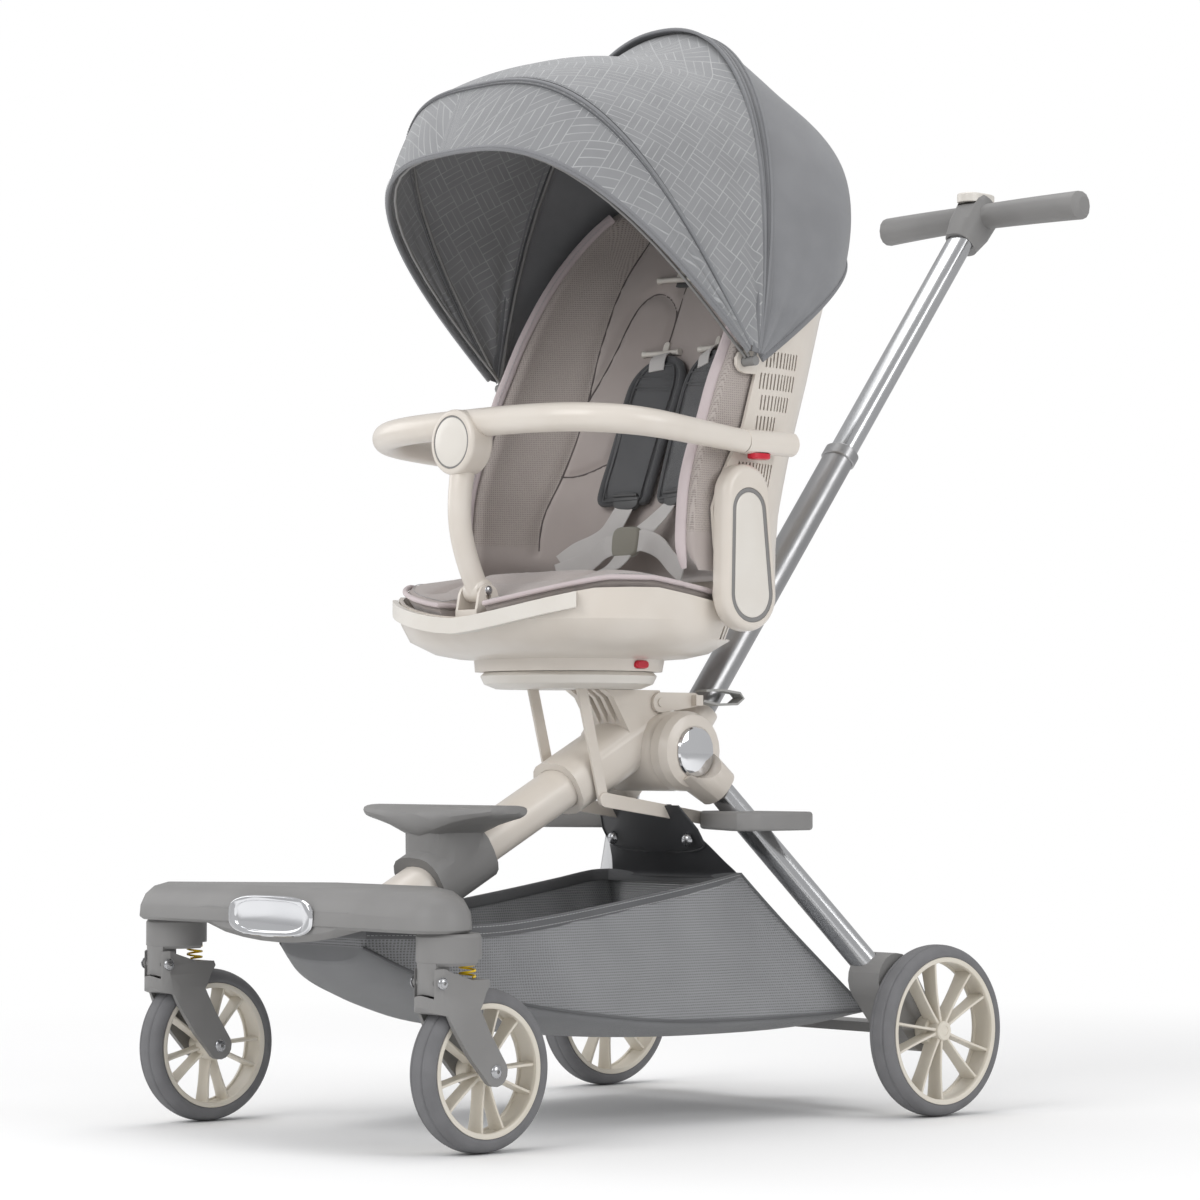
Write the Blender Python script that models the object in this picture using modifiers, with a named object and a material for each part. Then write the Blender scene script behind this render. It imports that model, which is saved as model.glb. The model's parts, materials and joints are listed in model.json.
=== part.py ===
# Light city stroller with a seat that turns on its post, three-wheel-style front deck on casters,
# two splayed rear legs and a telescopic centre handle. Metres, +Z up, the child faces -Y.
# Lengths along Y are written from the seat post's middle line region and shifted once by the root.
import math

import bpy
import bmesh
from mathutils import Matrix, Vector

# Fits
GAP = 0.0003
WALL = 0.004
PIN_FIT = 0.0004

# Wheels
WHEEL_WIDTH = 0.031
REAR_TYRE_R = 0.0875
REAR_RIM_R = 0.0750
REAR_HALF_TRACK = 0.2510
REAR_AXLE_Y = 0.300
FRONT_TYRE_R = 0.0767
FRONT_RIM_R = 0.0627
FRONT_HALF_TRACK = 0.2130
FRONT_AXLE_Y = -0.2805
RIM_LIP = 0.0050
SPOKE_PAIRS = 5
SPOKE_THICK = 0.0030
SPOKE_DEPTH = 0.022
HUB_R = 0.0100
SLEEVE_R = 0.0148
FRONT_PHASE = 62
REAR_PHASE = 40
AXLE_R = 0.0045

# Casters
CASTER_Y = -0.318
COLUMN_R = 0.0305
COLUMN_LOW = 0.1755
SPRING_SEAT_Z = 0.1815
STEM_R = 0.008
STEM_LENGTH = 0.018
FORK_PIVOT_Y = -0.341
FORK_PIVOT_Z = 0.160
FORK_ARM_THICK = 0.006
FORK_CLEAR = 0.0025
FORK_LUG_R = 0.0135
FORK_FOOT_R = 0.0140
LUG_INNER = 0.0140
LUG_OUTER = 0.0200
FENDER_INNER_R = 0.0800
FORK_PLAN_POWER = 2.4
SPRING_Y = -0.2955
SPRING_R = 0.0075
SPRING_WIRE_R = 0.0012
SPRING_CURLS = 3.0
LEDGE_Z = 0.1620

# Front deck
DECK_END_X = 0.207
DECK_END_Y = -0.3280
DECK_END_R = 0.0330
DECK_REAR_Y = -0.192
DECK_REAR_HALF = 0.105
DECK_UNDER_Z = 0.205
DECK_THICK = 0.037
CHIN_HALF = 0.115
CHIN_DROP = 0.015
TRIM_HALF_WIDTH = 0.066
TRIM_HEIGHT = 0.040
TRIM_Z = 0.2150
TRIM_THICK = 0.003

# Front tube, sleeve and foot saddle
TUBE_Y = -0.183
TUBE_Z = 0.236
TUBE_SLOPE = math.radians(27.5)
TUBE_HALF_WIDE = 0.0260
TUBE_HALF_DEEP = 0.0215
TUBE_END_Y = 0.105
SLEEVE_START_Y = 0.006
SLEEVE_HALF_WIDE = 0.0335
SLEEVE_HALF_DEEP = 0.0295
SADDLE_Y = -0.146
SADDLE_Z = 0.3105
SADDLE_HALF_WIDTH = 0.103
SADDLE_HALF_DEPTH = 0.0375

# Hub, legs and rear axle
PIVOT_Y = 0.132
PIVOT_Z = 0.373
HUB_BARREL_R = 0.0415
HUB_HALF_WIDTH = 0.047
ARM_THICK = 0.0245
INSERT_HALF_Y = 0.0250
INSERT_HALF_Z = 0.0265
LEG_TOP = Vector((0.070, 0.166, 0.334))
LEG_FOOT = Vector((0.210, 0.254, 0.144))
LEG_HALF_WIDE = 0.0155
LEG_HALF_DEEP = 0.0115
BRACKET_R = 0.027
BRACKET_WIDTH = 0.043
CROSS_PLATE_THICK = 0.010
CROSS_PLATE_DEPTH = 0.040

# Post, turntable and fold links
TURN_Y = 0.020
TURNTABLE_R = 0.091
TURNTABLE_UNDER_Z = 0.4365
TURNTABLE_TOP_Z = 0.4535
POST_HALF = 0.030
LINK_THICK = 0.003
LINK_HALF_WIDTH = 0.0065
LINK_INNER_X = 0.0360
LINK_TOP = Vector((0, 0.003, 0.4415))
LINK_KNEE = Vector((0, 0.034, 0.323))
LINK_HEEL = Vector((0, 0.180, 0.302))
LINK_PIN_R = 0.0035
PEDAL_OUTER_X = 0.175
PEDAL_FRONT_Y = 0.104
PEDAL_REAR_Y = 0.206
PEDAL_Z = 0.292
PEDAL_THICK = 0.019
LEVER_Y = 0.118
LEVER_Z = 0.4235
LEVER_REACH = 0.048
STRAP_X = 0.0325

# Handle
HANDLE_FOOT_Y = 0.1855
HANDLE_FOOT_Z = 0.3930
HANDLE_SLOPE = math.radians(52.3)
HANDLE_OUTER_LENGTH = 0.392
HANDLE_OUTER_WIDE = 0.0185
HANDLE_OUTER_DEEP = 0.0150
HANDLE_WALL = 0.0020
HANDLE_TUBE_LENGTH = 0.545
HANDLE_FROM_HUB = 0.752
GRIP_HALF_WIDTH = 0.152
GRIP_R = 0.0165
GRIP_SWEEP = 0.012
CAP_HALF_LENGTH = 0.034
CAP_HALF_WIDTH = 0.021
CAP_STROKE = 0.0028

# Seat bowl
BOWL_HALF_WIDTH = 0.1820
BOWL_FRONT = 0.153
BOWL_REAR = 0.150
BOWL_RIM_Z = 0.534
BOWL_FRONT_DIP = 0.027
BOWL_REAR_RIM_Z = 0.486
BOWL_POWER = 2.4
TURRET_R = 0.091
TURRET_TOP_Z = 0.466
TURN_BUTTON_AT = math.radians(11)
TURN_BUTTON_Z = 0.4605
TURN_BUTTON_STROKE = 0.0025
BRACKET_Y = -0.102
BUMPER_PIVOT_Z = 0.528
POST_R = 0.0115
TRAY_HALF_ANGLE = math.radians(46)
TRAY_THICK = 0.0055
TRAY_HEIGHT = 0.016

# Backrest
RECLINE_Y = 0.085
RECLINE_Z = 0.530
BACK_HALF_WIDTH = 0.1825
BACK_POWER = 2.5
BACK_TOP_Z = 0.985
COVER_THICK = 0.020
COVER_LOW_R = 0.0375
COVER_TOP_R = 0.0320
COVER_TOP_Y = 0.0815
COVER_TOP_Z = 0.633
EAR_R = 0.030
CUSHION_THICK = 0.022
CUSHION_POWER = 1.9
CUSHION_OFFSET = WALL + 0.0018
CUSHION_COLUMNS = 18
FACE_LOW_Y = 0.130
FACE_HIGH_Y = 0.272

# Bumper bar
BAR_R = 0.0118
BAR_FRONT_R = 0.0145
BAR_HALF_WIDTH = 0.1955
BAR_Z = 0.6830
BAR_RISE = 0.0185
BAR_FRONT = 0.117
BAR_END_Y = 0.080
BAR_POWER = 3.1
BUMPER_BUTTON_STROKE = 0.0020
DISC_R = 0.0330
DISC_THICK = 0.030
DISC_Y = -0.1230
DISC_Z = 0.6820

# Canopy
CANOPY_Y = 0.095
CANOPY_Z = 0.765
CANOPY_HALF_WIDTH = 0.200
CANOPY_SKIN = 0.0016
CANOPY_PIN_R = 0.005
CANOPY_LUG_R = 0.0115
CLOTH_GAP = 0.12
WIRE_R = 0.0018
CLOTH_COLUMNS = 24
WIRE_PITCH = 0.0042
FRONT_HOOP = (0.314, 48.0, 2.9)
TOP_HOOP = (0.343, 35.3, 3.0)
SAG_HOOP = (0.329, 2.5, 2.6)
MID_HOOP = (0.371, -10.0, 2.26)
REAR_HOOP = (0.345, -43.0, 2.5)
HEM_HOOP = (0.285, -57.0, 2.4)

# Basket
BASKET_SKIN = 0.0020
BASKET_FLAP_HALF = 0.036
BASKET_FLAP_TOP_Z = 0.318

FRAME_FRONT_Y = DECK_END_Y - DECK_END_R - TRIM_THICK - 0.0005
FRAME_REAR_Y = HANDLE_FOOT_Y + HANDLE_FROM_HUB * math.cos(HANDLE_SLOPE) + GRIP_SWEEP + GRIP_R
ROOT_SHIFT = -(FRAME_FRONT_Y + FRAME_REAR_Y) / 2

for old in list(bpy.data.objects):
    bpy.data.objects.remove(old)

parts = bpy.data.collections.new("stroller")
tools = bpy.data.collections.new("cutters")
bpy.context.scene.collection.children.link(parts)
bpy.context.scene.collection.children.link(tools)


# Materials

def make_material(name, colour, roughness, metallic=0.0):
    material = bpy.data.materials.new(name)
    material.use_nodes = True
    shader = material.node_tree.nodes["Principled BSDF"]
    shader.inputs["Base Color"].default_value = (*colour, 1.0)
    shader.inputs["Roughness"].default_value = roughness
    shader.inputs["Metallic"].default_value = metallic
    return material


cream = make_material("cream_plastic", (0.70, 0.65, 0.59), 0.45)
white = make_material("off_white_plastic", (0.74, 0.72, 0.68), 0.40)
grey = make_material("grey_plastic", (0.21, 0.21, 0.21), 0.55)
tyre_grey = make_material("tyre_rubber", (0.16, 0.16, 0.17), 0.75)
polished = make_material("polished_aluminium", (0.80, 0.80, 0.81), 0.18, 1.0)
chrome = make_material("chrome_plate", (0.86, 0.86, 0.87), 0.06, 1.0)
yellow = make_material("yellow_spring_steel", (0.87, 0.57, 0.01), 0.35)
red = make_material("red_plastic", (0.58, 0.01, 0.02), 0.35)
canopy_cloth = make_material("canopy_cloth", (0.26, 0.26, 0.27), 0.90)
seat_cloth = make_material("seat_cloth", (0.52, 0.48, 0.46), 0.90)
strap_cloth = make_material("strap_webbing", (0.38, 0.38, 0.37), 0.85)
net_cloth = make_material("basket_net", (0.17, 0.17, 0.17), 0.90)


# Bodies: an empty on each joint axis, under one root

root = bpy.data.objects.new("root", None)
root.location = (0, ROOT_SHIFT, 0)
parts.objects.link(root)
pivots = {"chassis": root}
places = {"chassis": Vector((0, 0, 0))}


def make_body(name, parent, place):
    empty = bpy.data.objects.new(name + "_axis", None)
    parts.objects.link(empty)
    empty.parent = pivots[parent]
    empty.location = Vector(place) - places[parent]
    pivots[name] = empty
    places[name] = Vector(place)


def evaluated_mesh(obj):
    graph = bpy.context.evaluated_depsgraph_get()
    mesh = bpy.data.meshes.new_from_object(obj.evaluated_get(graph))
    mesh.transform(obj.matrix_world)
    return mesh


def solid(obj):
    # Turns any object into a plain mesh object in the assembly's own frame, with doubles welded.
    bpy.context.view_layer.update()
    mesh = evaluated_mesh(obj)
    bm = bmesh.new()
    bm.from_mesh(mesh)
    bmesh.ops.remove_doubles(bm, verts=bm.verts, dist=1e-6)
    bmesh.ops.dissolve_degenerate(bm, edges=bm.edges, dist=1e-7)
    bmesh.ops.recalc_face_normals(bm, faces=bm.faces)
    bm.to_mesh(mesh)
    bm.free()
    new = bpy.data.objects.new(obj.name + "_solid", mesh)
    tools.objects.link(new)
    new.hide_render = True
    new.display_type = "WIRE"
    bpy.data.objects.remove(obj)
    return new


def combine(base, others, operation):
    for other in others:
        modifier = base.modifiers.new(operation, "BOOLEAN")
        modifier.operation = operation
        modifier.solver = "EXACT"
        modifier.object = other
        base = solid(base)
        bpy.data.objects.remove(other)
    return base


def fuse(base, *others):
    return combine(base, others, "UNION")


def cut(base, *others):
    return combine(base, others, "DIFFERENCE")


def part(name, obj, material, body="chassis"):
    # Gives a finished solid its name, material and parent, with its origin on its body's axis.
    mesh = obj.data
    mesh.transform(Matrix.Translation(-places[body]))
    mesh.name = name
    mesh.materials.clear()
    mesh.materials.append(material)
    mesh.shade_smooth()
    mesh.set_sharp_from_angle(angle=math.radians(35))
    new = bpy.data.objects.new(name, mesh)
    new.parent = pivots[body]
    parts.objects.link(new)
    bpy.data.objects.remove(obj)
    return new


# Shape helpers

def mesh_object(bm, name="shape"):
    mesh = bpy.data.meshes.new(name)
    bm.to_mesh(mesh)
    bm.free()
    obj = bpy.data.objects.new(name, mesh)
    tools.objects.link(obj)
    return obj


def box(low, high, bevel=0.0, segments=2):
    low = Vector(low)
    high = Vector(high)
    bm = bmesh.new()
    bmesh.ops.create_cube(bm, size=1.0)
    bmesh.ops.scale(bm, vec=high - low, verts=bm.verts)
    bmesh.ops.translate(bm, vec=(low + high) / 2, verts=bm.verts)
    obj = mesh_object(bm, "box")
    if bevel:
        modifier = obj.modifiers.new("round", "BEVEL")
        modifier.width = bevel
        modifier.segments = segments
        modifier.limit_method = "ANGLE"
    return solid(obj)


def rod(start, end, radius, sides=20, radius_end=None):
    start = Vector(start)
    end = Vector(end)
    bm = bmesh.new()
    bmesh.ops.create_cone(bm, cap_ends=True, segments=sides, radius1=radius,
                          radius2=radius if radius_end is None else radius_end,
                          depth=(end - start).length)
    turn = Vector((0, 0, 1)).rotation_difference(end - start).to_matrix().to_4x4()
    bmesh.ops.transform(bm, matrix=Matrix.Translation((start + end) / 2) @ turn, verts=bm.verts)
    return solid(mesh_object(bm, "rod"))


def turned(profile, place, axis="Z", steps=28, closed=False):
    # A profile of (radius, height) points turned about the axis through the place.
    bm = bmesh.new()
    verts = [bm.verts.new((r, 0, h)) for r, h in profile]
    for a, b in zip(verts, verts[1:]):
        bm.edges.new((a, b))
    if closed:
        bm.edges.new((verts[-1], verts[0]))
    obj = mesh_object(bm, "turned")
    screw = obj.modifiers.new("turn", "SCREW")
    screw.steps = steps
    screw.render_steps = steps
    screw.use_merge_vertices = True
    screw.merge_threshold = 0.00001
    if axis == "X":
        obj.rotation_euler = (0, math.pi / 2, 0)
    elif axis == "Y":
        obj.rotation_euler = (-math.pi / 2, 0, 0)
    obj.location = place
    return solid(obj)


def plate(outlines, thick, plane, level, bevel=0.0):
    # A flat outline with holes, as a filled curve given half its thickness each way.
    curve = bpy.data.curves.new("plate", "CURVE")
    curve.dimensions = "2D"
    curve.fill_mode = "BOTH"
    curve.extrude = thick / 2 - bevel
    curve.bevel_depth = bevel
    curve.bevel_resolution = 1
    curve.offset = -bevel
    for outline in outlines:
        spline = curve.splines.new("POLY")
        spline.points.add(len(outline) - 1)
        spline.use_cyclic_u = True
        for point, (u, v) in zip(spline.points, outline):
            point.co = (u, v, 0, 1)
    obj = bpy.data.objects.new("plate", curve)
    tools.objects.link(obj)
    if plane == "YZ":
        obj.matrix_world = Matrix(((0, 0, 1, level), (1, 0, 0, 0), (0, 1, 0, 0), (0, 0, 0, 1)))
    elif plane == "XZ":
        obj.matrix_world = Matrix(((1, 0, 0, 0), (0, 0, 1, level), (0, 1, 0, 0), (0, 0, 0, 1)))
    else:
        obj.location = (0, 0, level)
    return solid(obj)


def loft(rings, closed_path=False, thin=False):
    # A skin through the rings; thin rings, out along one side and back along the other, end in strips.
    bm = bmesh.new()
    rows = [[bm.verts.new(p) for p in ring] for ring in rings]
    count = len(rows[0])
    pairs = list(zip(rows, rows[1:]))
    if closed_path:
        pairs.append((rows[-1], rows[0]))
    for low, high in pairs:
        for i in range(count):
            j = (i + 1) % count
            bm.faces.new((low[i], low[j], high[j], high[i]))
    if thin:
        for row, ways in ((rows[0], -1), (rows[-1], 1)):
            for i in range(count // 2 - 1):
                quad = (row[i], row[i + 1], row[count - 2 - i], row[count - 1 - i])
                bm.faces.new(quad[::ways])
    elif not closed_path:
        bm.faces.new(list(reversed(rows[0])))
        bm.faces.new(rows[-1])
    bmesh.ops.triangulate(bm, faces=[f for f in bm.faces if len(f.verts) > 4])
    return solid(mesh_object(bm, "loft"))


def signed_power(value, power):
    return math.copysign(abs(value) ** power, value)


def oval_ring(centre, side, up, half_wide, half_deep, power=2.0, count=24):
    points = []
    for i in range(count):
        angle = 2 * math.pi * i / count
        u = half_wide * signed_power(math.cos(angle), 2 / power)
        v = half_deep * signed_power(math.sin(angle), 2 / power)
        points.append(Vector(centre) + Vector(side) * u + Vector(up) * v)
    return points


def oval_tube(start, end, half_wide, half_deep, side=(1, 0, 0), power=2.4, count=20,
              scale_end=1.0, steps=1):
    start = Vector(start)
    end = Vector(end)
    along = (end - start).normalized()
    across = (Vector(side) - along * along.dot(Vector(side))).normalized()
    up = along.cross(across)
    rings = []
    for i in range(steps + 1):
        t = i / steps
        size = 1 + (scale_end - 1) * t
        rings.append(oval_ring(start.lerp(end, t), across, up, half_wide * size,
                               half_deep * size, power, count))
    return loft(rings)


def round_tube(points, radius, resolution=2, cyclic=False):
    curve = bpy.data.curves.new("tube", "CURVE")
    curve.dimensions = "3D"
    curve.bevel_depth = radius
    curve.bevel_resolution = resolution
    curve.use_fill_caps = True
    spline = curve.splines.new("POLY")
    spline.points.add(len(points) - 1)
    spline.use_cyclic_u = cyclic
    for point, co in zip(spline.points, points):
        point.co = (*co, 1)
    obj = bpy.data.objects.new("tube", curve)
    tools.objects.link(obj)
    return solid(obj)


def arc(centre_u, centre_v, radius, start, end, count):
    # Points on an arc, angles in degrees.
    step = math.radians(end - start) / count
    begin = math.radians(start)
    return [(centre_u + radius * math.cos(begin + step * i),
             centre_v + radius * math.sin(begin + step * i)) for i in range(count + 1)]


def capsule(a, radius_a, b, radius_b, count=10):
    # The outline round two circles, for arms, covers and links.
    dx = b[0] - a[0]
    dy = b[1] - a[1]
    length = math.hypot(dx, dy)
    heading = math.degrees(math.atan2(dy, dx))
    lean = math.degrees(math.acos((radius_a - radius_b) / length))
    return (arc(a[0], a[1], radius_a, heading + lean, heading + 360 - lean, count)
            + arc(b[0], b[1], radius_b, heading - lean, heading + lean, count))


def mirrored(obj):
    # The same solid on the other side of the middle plane.
    mesh = obj.data.copy()
    bm = bmesh.new()
    bm.from_mesh(mesh)
    bmesh.ops.scale(bm, vec=(-1, 1, 1), verts=bm.verts)
    bmesh.ops.reverse_faces(bm, faces=bm.faces)
    bm.to_mesh(mesh)
    bm.free()
    new = bpy.data.objects.new("mirrored", mesh)
    tools.objects.link(new)
    return new


def both_sides(name, left, material, body="chassis", own_body=False):
    # The left solid lies at +X, the child's left, and its mirror image at -X.
    right = mirrored(left)
    part(name + "_l", left, material, body + "_l" if own_body else body)
    part(name + "_r", right, material, body + "_r" if own_body else body)


# Body axes
handle_way = Vector((0, math.cos(HANDLE_SLOPE), math.sin(HANDLE_SLOPE)))
handle_foot = Vector((0, HANDLE_FOOT_Y, HANDLE_FOOT_Z))
tube_way = Vector((0, math.cos(TUBE_SLOPE), math.sin(TUBE_SLOPE)))


def tube_point(y):
    return Vector((0, y, TUBE_Z + (y - TUBE_Y) * math.tan(TUBE_SLOPE)))


make_body("rear_frame", "chassis", (0, PIVOT_Y, PIVOT_Z))
make_body("fold_link", "chassis", LINK_TOP)
make_body("drag_link", "fold_link", LINK_KNEE)
make_body("brake", "rear_frame", (0, REAR_AXLE_Y + 0.024, REAR_TYRE_R + 0.014))
make_body("fold_lever", "chassis", (0, LEVER_Y, LEVER_Z))
make_body("handle", "chassis", handle_foot + handle_way * HANDLE_OUTER_LENGTH)
make_body("handle_button", "handle", handle_foot + handle_way * HANDLE_FROM_HUB)
make_body("seat", "chassis", (0, TURN_Y, TURNTABLE_TOP_Z))
make_body("turn_button", "seat", (0, TURN_Y, TURRET_TOP_Z))
make_body("leg_rest", "seat", (0, TURN_Y - BOWL_FRONT, BOWL_RIM_Z - BOWL_FRONT_DIP))
make_body("bumper", "seat", (0, BRACKET_Y, BUMPER_PIVOT_Z))
make_body("backrest", "seat", (0, RECLINE_Y, RECLINE_Z))
canopy_axis = (0, CANOPY_Y, CANOPY_Z)
make_body("canopy_mid", "backrest", canopy_axis)
make_body("canopy_top", "canopy_mid", canopy_axis)
make_body("canopy_front", "canopy_top", canopy_axis)
for side, sign in (("l", 1), ("r", -1)):
    x = sign * FRONT_HALF_TRACK
    make_body("caster_" + side, "chassis", (x, CASTER_Y, DECK_UNDER_Z))
    make_body("fork_" + side, "caster_" + side, (x, FORK_PIVOT_Y, FORK_PIVOT_Z))
    make_body("front_wheel_" + side, "fork_" + side, (x, FRONT_AXLE_Y, FRONT_TYRE_R))
    make_body("rear_wheel_" + side, "rear_frame", (sign * REAR_HALF_TRACK, REAR_AXLE_Y, REAR_TYRE_R))
    make_body("bumper_button_" + side, "backrest", (sign * BAR_HALF_WIDTH, BAR_END_Y, BAR_Z))
bpy.context.view_layer.update()


# Wheels

def tyre(x, y, radius, rim_radius):
    half = WHEEL_WIDTH / 2
    seat = rim_radius + GAP
    deep = radius - seat
    profile = [
        (seat, half * 0.92),
        (seat + deep * 0.45, half),
        (seat + deep * 0.80, half * 0.84),
        (radius - deep * 0.02, half * 0.40),
        (radius, half * 0.20),
        (radius, -half * 0.20),
        (radius - deep * 0.02, -half * 0.40),
        (seat + deep * 0.80, -half * 0.84),
        (seat + deep * 0.45, -half),
        (seat, -half * 0.92),
    ]
    return turned(profile, (x, y, radius), "X", 24, closed=True)


def spoke_star(y, z, rim_radius, phase):
    # Blades in five pairs, each pair closing in towards the hub, as one outline.
    tip_r = rim_radius - 0.0010
    root_r = HUB_R - 0.0010
    pair_step = 360 / SPOKE_PAIRS
    root_half = math.degrees(SPOKE_THICK / 2 / root_r)
    tip_half = math.degrees(SPOKE_THICK / 2 / tip_r)
    outline = []
    for i in range(SPOKE_PAIRS):
        for spread in (-1, 1):
            middle = phase + pair_step * i
            root_a = middle + spread * 14
            tip_a = middle + spread * 12
            for radius, angle in ((root_r, root_a - root_half), (tip_r, tip_a - tip_half),
                                  (tip_r, tip_a + tip_half), (root_r, root_a + root_half)):
                outline.append((y + radius * math.cos(math.radians(angle)),
                                z + radius * math.sin(math.radians(angle))))
    return outline


def rim(x, y, tyre_radius, rim_radius, hub_half, phase, bore_end):
    web = plate([spoke_star(y, tyre_radius, rim_radius, phase)], SPOKE_DEPTH, "YZ", x)
    half = WHEEL_WIDTH / 2 - 0.001
    band = turned([
        (rim_radius, half),
        (rim_radius, -half),
        (rim_radius - RIM_LIP, -half),
        (rim_radius - RIM_LIP * 0.55, 0),
        (rim_radius - RIM_LIP, half),
    ], (x, y, tyre_radius), "X", 24, closed=True)
    hub_face = min(hub_half, SPOKE_DEPTH / 2 + 0.002) if bore_end < 0.02 else hub_half
    hub = rod((x - hub_half, y, tyre_radius), (x + hub_face, y, tyre_radius), HUB_R, 14)
    sleeve = rod((x - hub_half, y, tyre_radius), (x - 0.001, y, tyre_radius), SLEEVE_R, 14)
    bore = rod((x - 0.05, y, tyre_radius), (x + bore_end, y, tyre_radius), AXLE_R + PIN_FIT, 12)
    return cut(fuse(band, web, hub, sleeve), bore)


fork_inner = WHEEL_WIDTH / 2 + FORK_CLEAR
fork_outer = fork_inner + FORK_ARM_THICK
rear_bracket_face = REAR_HALF_TRACK - WHEEL_WIDTH / 2 - 0.0012

both_sides("front_tyre", tyre(FRONT_HALF_TRACK, FRONT_AXLE_Y, FRONT_TYRE_R, FRONT_RIM_R),
           tyre_grey, "front_wheel", own_body=True)
both_sides("front_rim", rim(FRONT_HALF_TRACK, FRONT_AXLE_Y, FRONT_TYRE_R, FRONT_RIM_R,
                            fork_inner - GAP, FRONT_PHASE, 0.05), cream, "front_wheel", own_body=True)
both_sides("rear_tyre", tyre(REAR_HALF_TRACK, REAR_AXLE_Y, REAR_TYRE_R, REAR_RIM_R),
           tyre_grey, "rear_wheel", own_body=True)
both_sides("rear_rim", rim(REAR_HALF_TRACK, REAR_AXLE_Y, REAR_TYRE_R, REAR_RIM_R,
                           REAR_HALF_TRACK - rear_bracket_face - GAP, REAR_PHASE, 0.0095),
           cream, "rear_wheel", own_body=True)


# Casters: housing that swivels under the deck, sprung fork and coil spring

def caster_housing():
    x = FRONT_HALF_TRACK
    top = DECK_UNDER_Z - GAP
    column = turned([
        (0, top), (COLUMN_R - 0.002, top), (COLUMN_R, top - 0.003), (COLUMN_R, COLUMN_LOW + 0.003),
        (COLUMN_R - 0.003, COLUMN_LOW), (0, COLUMN_LOW)], (x, CASTER_Y, 0), "Z", 24)
    stem = rod((x, CASTER_Y, top - 0.004), (x, CASTER_Y, top + STEM_LENGTH), STEM_R, 16)
    front = FORK_PIVOT_Y - FORK_LUG_R * 0.95
    tongue = plate([
        arc(FORK_PIVOT_Y, FORK_PIVOT_Z, FORK_LUG_R * 0.95, 180, 360, 8)
        + [(FORK_PIVOT_Y + FORK_LUG_R * 0.95, COLUMN_LOW + 0.006),
           (front + 0.010, COLUMN_LOW + 0.014), (front + 0.002, COLUMN_LOW + 0.004)]
    ], (LUG_INNER - GAP) * 2, "YZ", x)
    tongue = combine(tongue, [rod((x, CASTER_Y, 0.10), (x, CASTER_Y, 0.25), COLUMN_R - 0.0005, 24)],
                     "INTERSECT")
    housing = fuse(column, stem, tongue)
    notch = box((x - COLUMN_R - 0.001, SPRING_Y - SPRING_R - 0.003, COLUMN_LOW - 0.01),
                (x + COLUMN_R + 0.001, CASTER_Y + COLUMN_R + 0.001, SPRING_SEAT_Z))
    bore = rod((x - 0.05, FORK_PIVOT_Y, FORK_PIVOT_Z), (x + 0.05, FORK_PIVOT_Y, FORK_PIVOT_Z),
               AXLE_R + PIN_FIT, 12)
    return cut(housing, notch, bore)


def fork():
    # The side outline of lug, fender and arms, and the front outline that flares round the tyre.
    x = FRONT_HALF_TRACK
    pivot = (FORK_PIVOT_Y, FORK_PIVOT_Z)
    axle = (FRONT_AXLE_Y, FRONT_TYRE_R)
    side_shape = (
        arc(*pivot, FORK_LUG_R, 205, 50, 8)
        + [(SPRING_Y - SPRING_R - 0.003, LEDGE_Z), (SPRING_Y + SPRING_R + 0.002, LEDGE_Z),
           (SPRING_Y + SPRING_R + 0.004, LEDGE_Z - 0.0045), (-0.2990, 0.1350), (-0.2870, 0.1120)]
        + arc(*axle, FORK_FOOT_R, 27, -153, 8)
        + [(-0.3100, 0.0890), (-0.3220, 0.1060), (-0.3300, 0.1180), (-0.3360, 0.1300),
           (-0.3480, 0.1330), (-0.3530, 0.1400), (-0.3540, 0.1500)]
    )
    body = plate([side_shape], fork_outer * 2, "YZ", x)
    flare_low = 0.138
    flare_high = 0.150
    front_shape = [
        (x - LUG_OUTER, 0.20), (x - LUG_OUTER, flare_high), (x - fork_outer + 0.0006, flare_low),
        (x - fork_outer - 0.001, 0.05), (x + fork_outer + 0.001, 0.05), (x + fork_outer - 0.0006, flare_low),
        (x + LUG_OUTER, flare_high), (x + LUG_OUTER, 0.20),
    ]
    body = combine(body, [plate([front_shape], 0.3, "XZ", FORK_PIVOT_Y)], "INTERSECT")
    well = plate([
        arc(*axle, FENDER_INNER_R, 0, 180, 14)
        + [(axle[0] - FENDER_INNER_R, 0.03), (axle[0] + FENDER_INNER_R, 0.03)]
    ], fork_inner * 2, "YZ", x)
    slot = plate([
        arc(*pivot, FORK_LUG_R + 0.0022, 130, 385, 12) + [(pivot[0] + 0.020, 0.19), (pivot[0] - 0.011, 0.19)]
    ], LUG_INNER * 2, "YZ", x)
    plan = (arc(x, CASTER_Y, 1.0, 180, 360, 10))
    plan = [(x + (fork_outer + 0.0002) * signed_power(u - x, 2 / FORK_PLAN_POWER),
             CASTER_Y - 0.0335 * abs(v - CASTER_Y) ** (2 / FORK_PLAN_POWER)) for u, v in plan]
    plan += [(x + fork_outer + 0.0002, -0.20), (x - fork_outer - 0.0002, -0.20)]
    body = combine(body, [plate([plan], 0.3, "XY", 0.10)], "INTERSECT")
    body = cut(body, well, slot)
    axle_pin = rod((x - fork_outer - 0.002, *axle), (x + fork_outer + 0.002, *axle), AXLE_R, 10)
    pivot_pin = rod((x - LUG_OUTER - 0.002, *pivot), (x + LUG_OUTER + 0.002, *pivot), AXLE_R, 10)
    return fuse(body, axle_pin, pivot_pin)


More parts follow.
